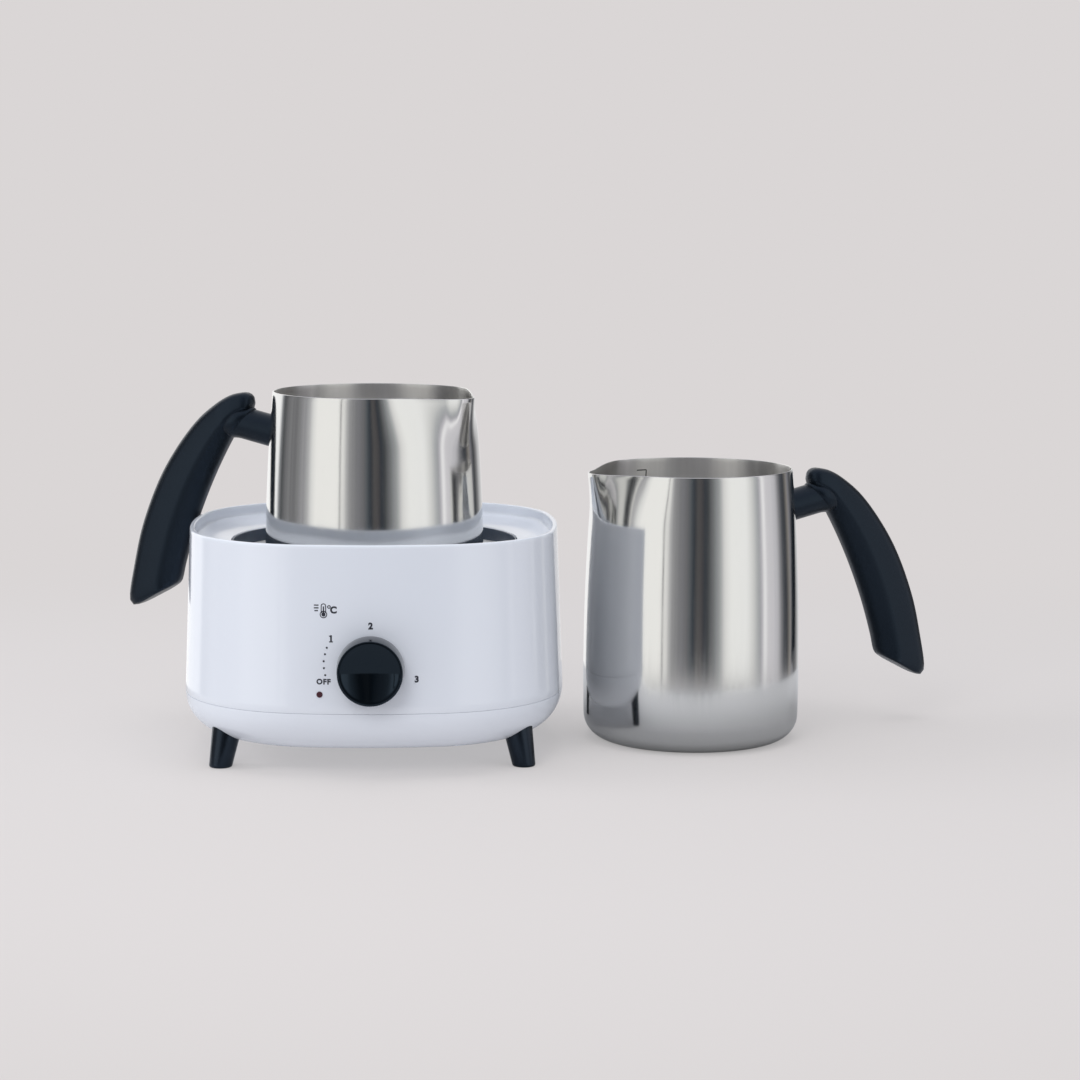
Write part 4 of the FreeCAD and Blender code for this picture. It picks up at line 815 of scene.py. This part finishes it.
KNOB_Z = 53.5
KNOB_REAR_Y = -94.19
KNOB_FRONT_Y = -106.39
KNOB_REAR_R = 16.1
KNOB_FRONT_R = 15.4
KNOB_DISH_R = 13.7
KNOB_DISH_DEPTH = 2.4
KNOB_RIM_ROUND = 0.55
KNOB_DISH_SHARES = (0, 0.1, 0.2, 0.3, 0.4, 0.5, 0.6, 0.7, 0.78, 0.86, 0.93, 1.0)
POINTER_R = 14.45        # the dot's distance from the knob's axis
POINTER_ANGLE = math.radians(-9.0)
POINTER_DOT_R = 0.55


def make_knob():
    """Turned knob with a dished, polished face, a rounded rim and a small sunk dot on the rim."""
    knob = bmesh.new()
    dish = [(KNOB_DISH_R * share, KNOB_FRONT_Y + KNOB_DISH_DEPTH * (1 - share ** 2.3), 0)
            for share in KNOB_DISH_SHARES]
    line = draw_line(knob, [*dish, (KNOB_FRONT_R, KNOB_FRONT_Y, 0), (KNOB_REAR_R, KNOB_REAR_Y, 0),
                            (0, KNOB_REAR_Y, 0)])
    round_corners(knob, line[-4:-1], KNOB_RIM_ROUND)
    turned(knob, Vector((0, 1, 0)), steps=160)
    face_out(knob)
    move(knob, (0, 0, KNOB_Z))
    finish_piece("dished_control_knob", knob, "knob", [FINISH["knob_black"]], replaces=["control_knob"],
                 crease=40.0)
    dot = bmesh.new()
    bmesh.ops.create_uvsphere(dot, u_segments=20, v_segments=10, radius=POINTER_DOT_R)
    stretch(dot, (1, 0.35, 1))
    move(dot, (POINTER_R * math.cos(POINTER_ANGLE), KNOB_FRONT_Y, KNOB_Z + POINTER_R * math.sin(POINTER_ANGLE)))
    finish_piece("knob_pointer_dot", dot, "knob", [FINISH["knob_black"]])


# ---------------- jugs

JUG_R = 50.3
JUG_FOOT_R = 54.5
JUG_BULGE_R = 54.1
JUG_HEIGHT = 138.0
JUG_EDGE_R = 12.5
JUG_WALL = 0.8
BOTTOM_RING_R = 20.0     # divides the flat bottom's long triangles
SPOUT_Z = 112.0
SPOUT_DIP = 1.8
SPOUT_TIP = 57.3
SPOUT_TURN = math.radians(8.0)
SPOUT_SPREAD = math.radians(54.0)
FLANK_SHARE = 0.72
SPOUT_SOFT = math.radians(9.0)
SPOUT_DIP_Z = 118.0
SPOUT_SWELL = 1.3
FLANK_DEPTH = 24.0
JUG_STEPS = 256
LEVEL_STROKES = ((97.1, 6.6, 131.5, 132.1), (93.9, 0.7, 128.2, 131.8))    # angle, width in degrees, low, high
JUG_2_PLACE = Vector((160.4, 12, 0))
# body, place of the bottom's middle, and the handle's direction in degrees from +X
JUGS = (("jug_1", Vector((0, 0, 39.5)), 160.0), ("jug_2", JUG_2_PLACE, 20.0))


def arc_through(first, middle, last):
    """Centre, in X and Z, and radius of the arc through three points of a profile."""
    ax, az = first
    bx, bz = middle
    cx, cz = last
    twice = 2 * (ax * (bz - cz) + bx * (cz - az) + cx * (az - bz))
    a2, b2, c2 = ax * ax + az * az, bx * bx + bz * bz, cx * cx + cz * cz
    x = (a2 * (bz - cz) + b2 * (cz - az) + c2 * (az - bz)) / twice
    z = (a2 * (cx - bx) + b2 * (ax - cx) + c2 * (bx - ax)) / twice
    return x, z, math.hypot(ax - x, az - z)


WALL_X, WALL_Z, WALL_R = arc_through((JUG_FOOT_R, JUG_EDGE_R), (JUG_BULGE_R, JUG_HEIGHT / 2 + JUG_EDGE_R / 2),
                                     (JUG_R, JUG_HEIGHT))


def wall_radius(z):
    """The jug's outer radius at a height above the rounding."""
    return WALL_X + math.sqrt(WALL_R * WALL_R - (z - WALL_Z) ** 2)


def set_at_jug(shape, place, turn):
    """Takes a shape drawn with the handle along +X to its jug."""
    rotate(shape, math.radians(turn), "Z")
    move(shape, place)


def teardrop(angle):
    """Radius of the rim's plan, which runs straight from the circle to the spout's tip on both sides."""
    angle = abs(angle)
    if angle >= SPOUT_SPREAD:
        return JUG_R
    across, ahead = JUG_R * math.sin(SPOUT_SPREAD), JUG_R * math.cos(SPOUT_SPREAD)
    return SPOUT_TIP * across / (across * math.cos(angle) + (SPOUT_TIP - ahead) * math.sin(angle))


def spout_push(angle):
    """How far the rim stands out from the circle, with its corners rounded off."""
    steps = [SPOUT_SOFT * (index - 5) / 5 for index in range(11)]
    push = sum(teardrop(angle + step) for step in steps) / len(steps) - JUG_R
    return push if push > 0 else push * FLANK_SHARE


def make_jug_cup(name, place, turn):
    """Thin-walled cup, polished outside and brushed inside, with its spout opposite the handle."""
    cup = bmesh.new()
    flat_r = JUG_FOOT_R - JUG_EDGE_R
    last = draw_line(cup, [(0, 0, 0), (BOTTOM_RING_R, 0, 0), (flat_r, 0, 0)])[-1:]
    side = Vector((0, -1, 0))
    last = swing(cup, last, (flat_r, 0, JUG_EDGE_R), side, math.pi / 2, 12)
    sweep = math.asin((JUG_HEIGHT - WALL_Z) / WALL_R) - math.asin((JUG_EDGE_R - WALL_Z) / WALL_R)
    swing(cup, only(bmesh.types.BMVert, last), (WALL_X, 0, WALL_Z), side, sweep, 56)
    turned(cup, UP, steps=JUG_STEPS)
    for vert in cup.verts:
        if vert.co.z <= SPOUT_Z:
            continue
        flat = Vector((vert.co.x, vert.co.y, 0))
        angle = math.remainder(math.atan2(flat.y, -flat.x) - SPOUT_TURN, 2 * math.pi)
        push = spout_push(angle)
        start = SPOUT_Z if push > 0 else JUG_HEIGHT - FLANK_DEPTH
        share = max(0.0, (vert.co.z - start) / (JUG_HEIGHT - start)) ** SPOUT_SWELL
        flat *= 1 + push * share / flat.length
        dip = SPOUT_DIP * (1 - eased(abs(angle), 0, SPOUT_SPREAD))
        vert.co = Vector((flat.x, flat.y, vert.co.z - dip * eased(vert.co.z, SPOUT_DIP_Z, JUG_HEIGHT)))
    face_out(cup)
    if sum(face.normal.dot(face.calc_center_median()) for face in list(cup.faces)[-50:]) < 0:
        bmesh.ops.reverse_faces(cup, faces=cup.faces)
    bmesh.ops.solidify(cup, geom=list(cup.faces), thickness=JUG_WALL)
    cup.normal_update()
    for face in cup.faces:
        middle = face.calc_center_median()
        looks_in = face.normal.dot(Vector((middle.x, middle.y, 0))) < 0
        face.material_index = 1 if (looks_in or (face.normal.z > 0.5 and middle.z < 20)) else 0
    rim = [edge for edge in cup.edges
           if edge.calc_length() < 3 and all(vert.co.z > JUG_HEIGHT - 4 for vert in edge.verts)
           and len(edge.link_faces) == 2 and edge.calc_face_angle(0) > 1.0]
    round_edges(cup, rim, 0.3)
    set_at_jug(cup, place, turn)
    finish_piece(name + "_polished_cup", cup, name, [FINISH["jug_steel"], JUG_INSIDE],
                 replaces=[name + "_cup"], crease=50.0)


def make_level_mark(name, place, turn):
    """The etched filling line inside the wall: one stroke across and one down at its end."""
    mark = bmesh.new()
    for angle, width, low, high in LEVEL_STROKES:
        for vert in bmesh.ops.create_grid(mark, x_segments=8, y_segments=4, size=0.5)["verts"]:
            at = math.radians(angle + vert.co.x * width)
            z = low + (vert.co.y + 0.5) * (high - low)
            radius = wall_radius(z) - JUG_WALL - 0.04
            vert.co = Vector((radius * math.cos(at), radius * math.sin(at), z))
    face_out(mark)
    set_at_jug(mark, place, turn)
    finish_piece(name + "_level_mark", mark, name, [ETCHED_LINE], smooth=False)


# ---------------- handles

# palm side and jug side of the grip: out from the housing's side, and down from the jug's rim
GRIP_BACK_LINE = ((-29.2, 2.2), (-17.8, 4.0), (-7.5, 10.1), (2.9, 19.4), (19.7, 42.9), (31.9, 71.2),
                  (37.6, 94.4), (40.1, 108.0), (40.1, 111.5), (38.4, 114.0), (34.8, 113.7))
GRIP_FRONT_LINE = ((-29.2, 12.4), (-22.6, 17.4), (-15.5, 29.0), (-5.2, 49.4), (4.1, 72.3), (10.2, 91.7),
                   (12.2, 99.6), (13.6, 102.0))
GRIP_HALF = 9.5
GRIP_DEPTH = 22.0
GRIP_RINGS = 56
GRIP_NOSE = 5.5
GRIP_CROWDING = 1.25     # over 1 sets the rings closer together at the nose
GRIP_CAP_ROUND = 1.8
GRIP_SECTION = ((11, 6.6), (-3.4, GRIP_HALF), (-11, 4.6), (-11, -4.6), (-3.4, -GRIP_HALF), (11, -6.6))
GRIP_ROUNDING = (((0, 5), 4.6), ((1, 4), 2.0), ((2, 3), 3.4))     # corners of the section, and their rounding


def smooth_line(points):
    """Samples a rounded line through points, with its running length."""
    spots = [Vector((x, y)) for x, y in points]
    spots = [spots[0] * 2 - spots[1]] + spots + [spots[-1] * 2 - spots[-2]]
    samples = []
    for a, b, c, d in zip(spots, spots[1:], spots[2:], spots[3:]):
        knots = [0.0]
        for start, end in ((a, b), (b, c), (c, d)):
            knots.append(knots[-1] + math.sqrt((end - start).length))
        for step in range(24):
            t = knots[1] + (knots[2] - knots[1]) * step / 24
            first = a.lerp(b, (t - knots[0]) / (knots[1] - knots[0]))
            second = b.lerp(c, (t - knots[1]) / (knots[2] - knots[1]))
            third = c.lerp(d, (t - knots[2]) / (knots[3] - knots[2]))
            low = first.lerp(second, (t - knots[0]) / (knots[2] - knots[0]))
            high = second.lerp(third, (t - knots[1]) / (knots[3] - knots[1]))
            samples.append(low.lerp(high, (t - knots[1]) / (knots[2] - knots[1])))
    samples.append(spots[-2])
    lengths = [0.0]
    for start, end in zip(samples, samples[1:]):
        lengths.append(lengths[-1] + (end - start).length)
    return samples, lengths


def along(line, share):
    samples, lengths = line
    wanted = share * lengths[-1]
    for index in range(1, len(samples)):
        if lengths[index] >= wanted:
            gap = lengths[index] - lengths[index - 1]
            return samples[index - 1].lerp(samples[index], (wanted - lengths[index - 1]) / gap)
    return samples[-1]


def grip_matrix(back_line, front_line, share):
    """Where the grip's standard section goes at a share of the grip's length."""
    back, front = along(back_line, share), along(front_line, share)
    middle, deep = (back + front) / 2, back - front
    run = share * back_line[1][-1]
    nose = math.sqrt(max(0.0, 1 - (1 - min(1.0, (run + 0.05) / GRIP_NOSE)) ** 2))
    wide = min(1.0, 0.66 + share * 2.4) * nose
    depth = deep.length / GRIP_DEPTH * nose
    ahead = Vector((deep.x, 0, -deep.y)).normalized()
    turn = Matrix((ahead, Vector((0, 1, 0)), ahead.cross(Vector((0, 1, 0))))).transposed().to_4x4()
    place = Vector((HOUSING_HALF + middle.x, 0, JUG_HEIGHT - middle.y))
    return Matrix.Translation(place) @ turn @ Matrix.Diagonal((depth, wide, 1, 1))


def make_grip(name, place, turn):
    """Moulded grip: one section carried along between its two side lines, with a rounded nose and a cut end."""
    grip = bmesh.new()
    section = draw_loop(grip, [(x, y, 0) for x, y in GRIP_SECTION])
    for chosen, size in GRIP_ROUNDING:
        round_corners(grip, [section[index] for index in chosen], size)
    back_line, front_line = smooth_line(GRIP_BACK_LINE), smooth_line(GRIP_FRONT_LINE)
    verts, edges = list(grip.verts), list(grip.edges)
    last = Matrix.Identity(4)
    for ring in range(GRIP_RINGS + 1):
        share = (ring / GRIP_RINGS) ** GRIP_CROWDING
        now = grip_matrix(back_line, front_line, share)
        if ring:
            verts, edges = next_ring(grip, edges)
        bmesh.ops.transform(grip, matrix=now @ last.inverted(), verts=verts)
        last = now
    bmesh.ops.holes_fill(grip, edges=[edge for edge in grip.edges if len(edge.link_faces) < 2], sides=0)
    face_out(grip)
    cap = max(grip.faces, key=lambda face: face.calc_area())
    round_edges(grip, list(cap.edges), GRIP_CAP_ROUND, 4)
    set_at_jug(grip, place, turn)
    finish_piece(name + "_moulded_grip", grip, name, [FINISH["handle_black"]],
                 replaces=[name + "_handle_grip"], crease=40.0)


STEM_Z = JUG_HEIGHT - 22.5
STEM_RISE = math.radians(13.0)
STEM_R = 8.0
STEM_LENGTH = 24.0
STEM_FLARE = 0.8
STEM_SUNK = 1.2
FLARE_FROM, FLARE_RUN = 7.0, 5.6     # back from the stem's end, and its length
COLLAR_PLACE = 22.4
COLLAR_SLOPE = 0.5
COLLAR_R = 7.6
COLLAR_THICK = 1.5
COLLAR_STRETCH = 2.6


def lean_from_wall(shape):
    """Takes a shape drawn upright to the stem's place on the jug's wall and to its slope."""
    rotate(shape, math.pi / 2 - STEM_RISE, "Y")
    move(shape, (wall_radius(STEM_Z), 0, STEM_Z))


def make_stem(name, place, turn):
    """Turned stem with a flared end at the grip; its other end is shaped to the middle of the jug's wall."""
    stem = bmesh.new()
    flare = [(STEM_R + STEM_FLARE * (step / 6) ** 2.6, 0, STEM_LENGTH - FLARE_FROM + FLARE_RUN * (step / 6))
             for step in range(7)]
    draw_line(stem, [(0, 0, -STEM_SUNK), (STEM_R, 0, -STEM_SUNK), *flare,
                     (STEM_R + STEM_FLARE, 0, STEM_LENGTH - 0.6), (STEM_R - 0.3, 0, STEM_LENGTH),
                     (0, 0, STEM_LENGTH)])
    turned(stem, UP, steps=64)
    face_out(stem)
    welded = [vert for vert in stem.verts if vert.co.z < 0]
    lean_from_wall(stem)
    run = Vector((math.cos(STEM_RISE), 0, math.sin(STEM_RISE)))
    for vert in welded * 4:     # in rounds, because the wall's radius changes with the height
        vert.co += run * (wall_radius(vert.co.z) - JUG_WALL / 2 - vert.co.xy.length)
    set_at_jug(stem, place, turn)
    finish_piece(name + "_flared_stem", stem, name, [FINISH["handle_black"]],
                 replaces=[name + "_handle_stem"], crease=40.0)


def make_collar(name, place, turn):
    """Rounded lip of the grip's socket, which runs slantwise round the stem."""
    collar = bmesh.new()
    bmesh.ops.create_circle(collar, segments=18, radius=COLLAR_THICK)
    rotate(collar, math.pi / 2, "X")
    stretch(collar, (1, 1, COLLAR_STRETCH))
    move(collar, (COLLAR_R, 0, 0))
    turned(collar, UP, steps=64)
    face_out(collar)
    for vert in collar.verts:
        vert.co.z += COLLAR_PLACE + COLLAR_SLOPE * vert.co.x
    lean_from_wall(collar)
    set_at_jug(collar, place, turn)
    finish_piece(name + "_socket_collar", collar, name, [FINISH["handle_black"]],
                 crease=60.0)


# ---------------- ring round the well

FLANGE_Z = 97.2
RING_GAP = 0.25
RING_TOP_Z = DECK_Z - RING_GAP
RING_LIP = 4.0
RING_LIP_THICK = 1.6
RING_EDGE = 0.3


def make_trim_ring():
    """Dark ring with a thin rounded top edge and a lip under the deck."""
    ring = bmesh.new()
    outer, lip_z, foot_z = DECK_HOLE_R - RING_GAP, FLANGE_Z + RING_LIP_THICK, FLANGE_Z + 0.05
    corners = draw_loop(ring, [(outer, 0, RING_TOP_Z), (outer, 0, lip_z), (outer + RING_LIP, 0, lip_z),
                               (outer + RING_LIP, 0, foot_z), (outer - 1.0, 0, foot_z),
                               (outer - 0.7, 0, RING_TOP_Z)])
    round_corners(ring, [corners[0], corners[5]], RING_EDGE, segments=4)
    turned(ring, UP, steps=192)
    face_out(ring)
    finish_piece("dark_trim_ring", ring, "base", [FINISH["ring_black"]], replaces=["well_trim_ring"],
                 crease=40.0)


# ---------------- assembly


def dress_nodes():
    for row in frame["record"]["subparts"]:
        node = bpy.data.objects.get(row["node"])
        material = FINISH[row["material_slot"]]
        for place in node.material_slots:
            place.material = material


make_camera()
make_room()
make_floor()
for box in SOFT_BOXES:
    soft_box(*box)
bpy.context.scene.view_settings.view_transform = "Standard"
dress_nodes()
make_upper_housing()
make_panel_marks()
make_knob()
make_trim_ring()
for jug in JUGS:
    for make_part in (make_jug_cup, make_level_mark, make_grip, make_stem, make_collar):
        make_part(*jug)
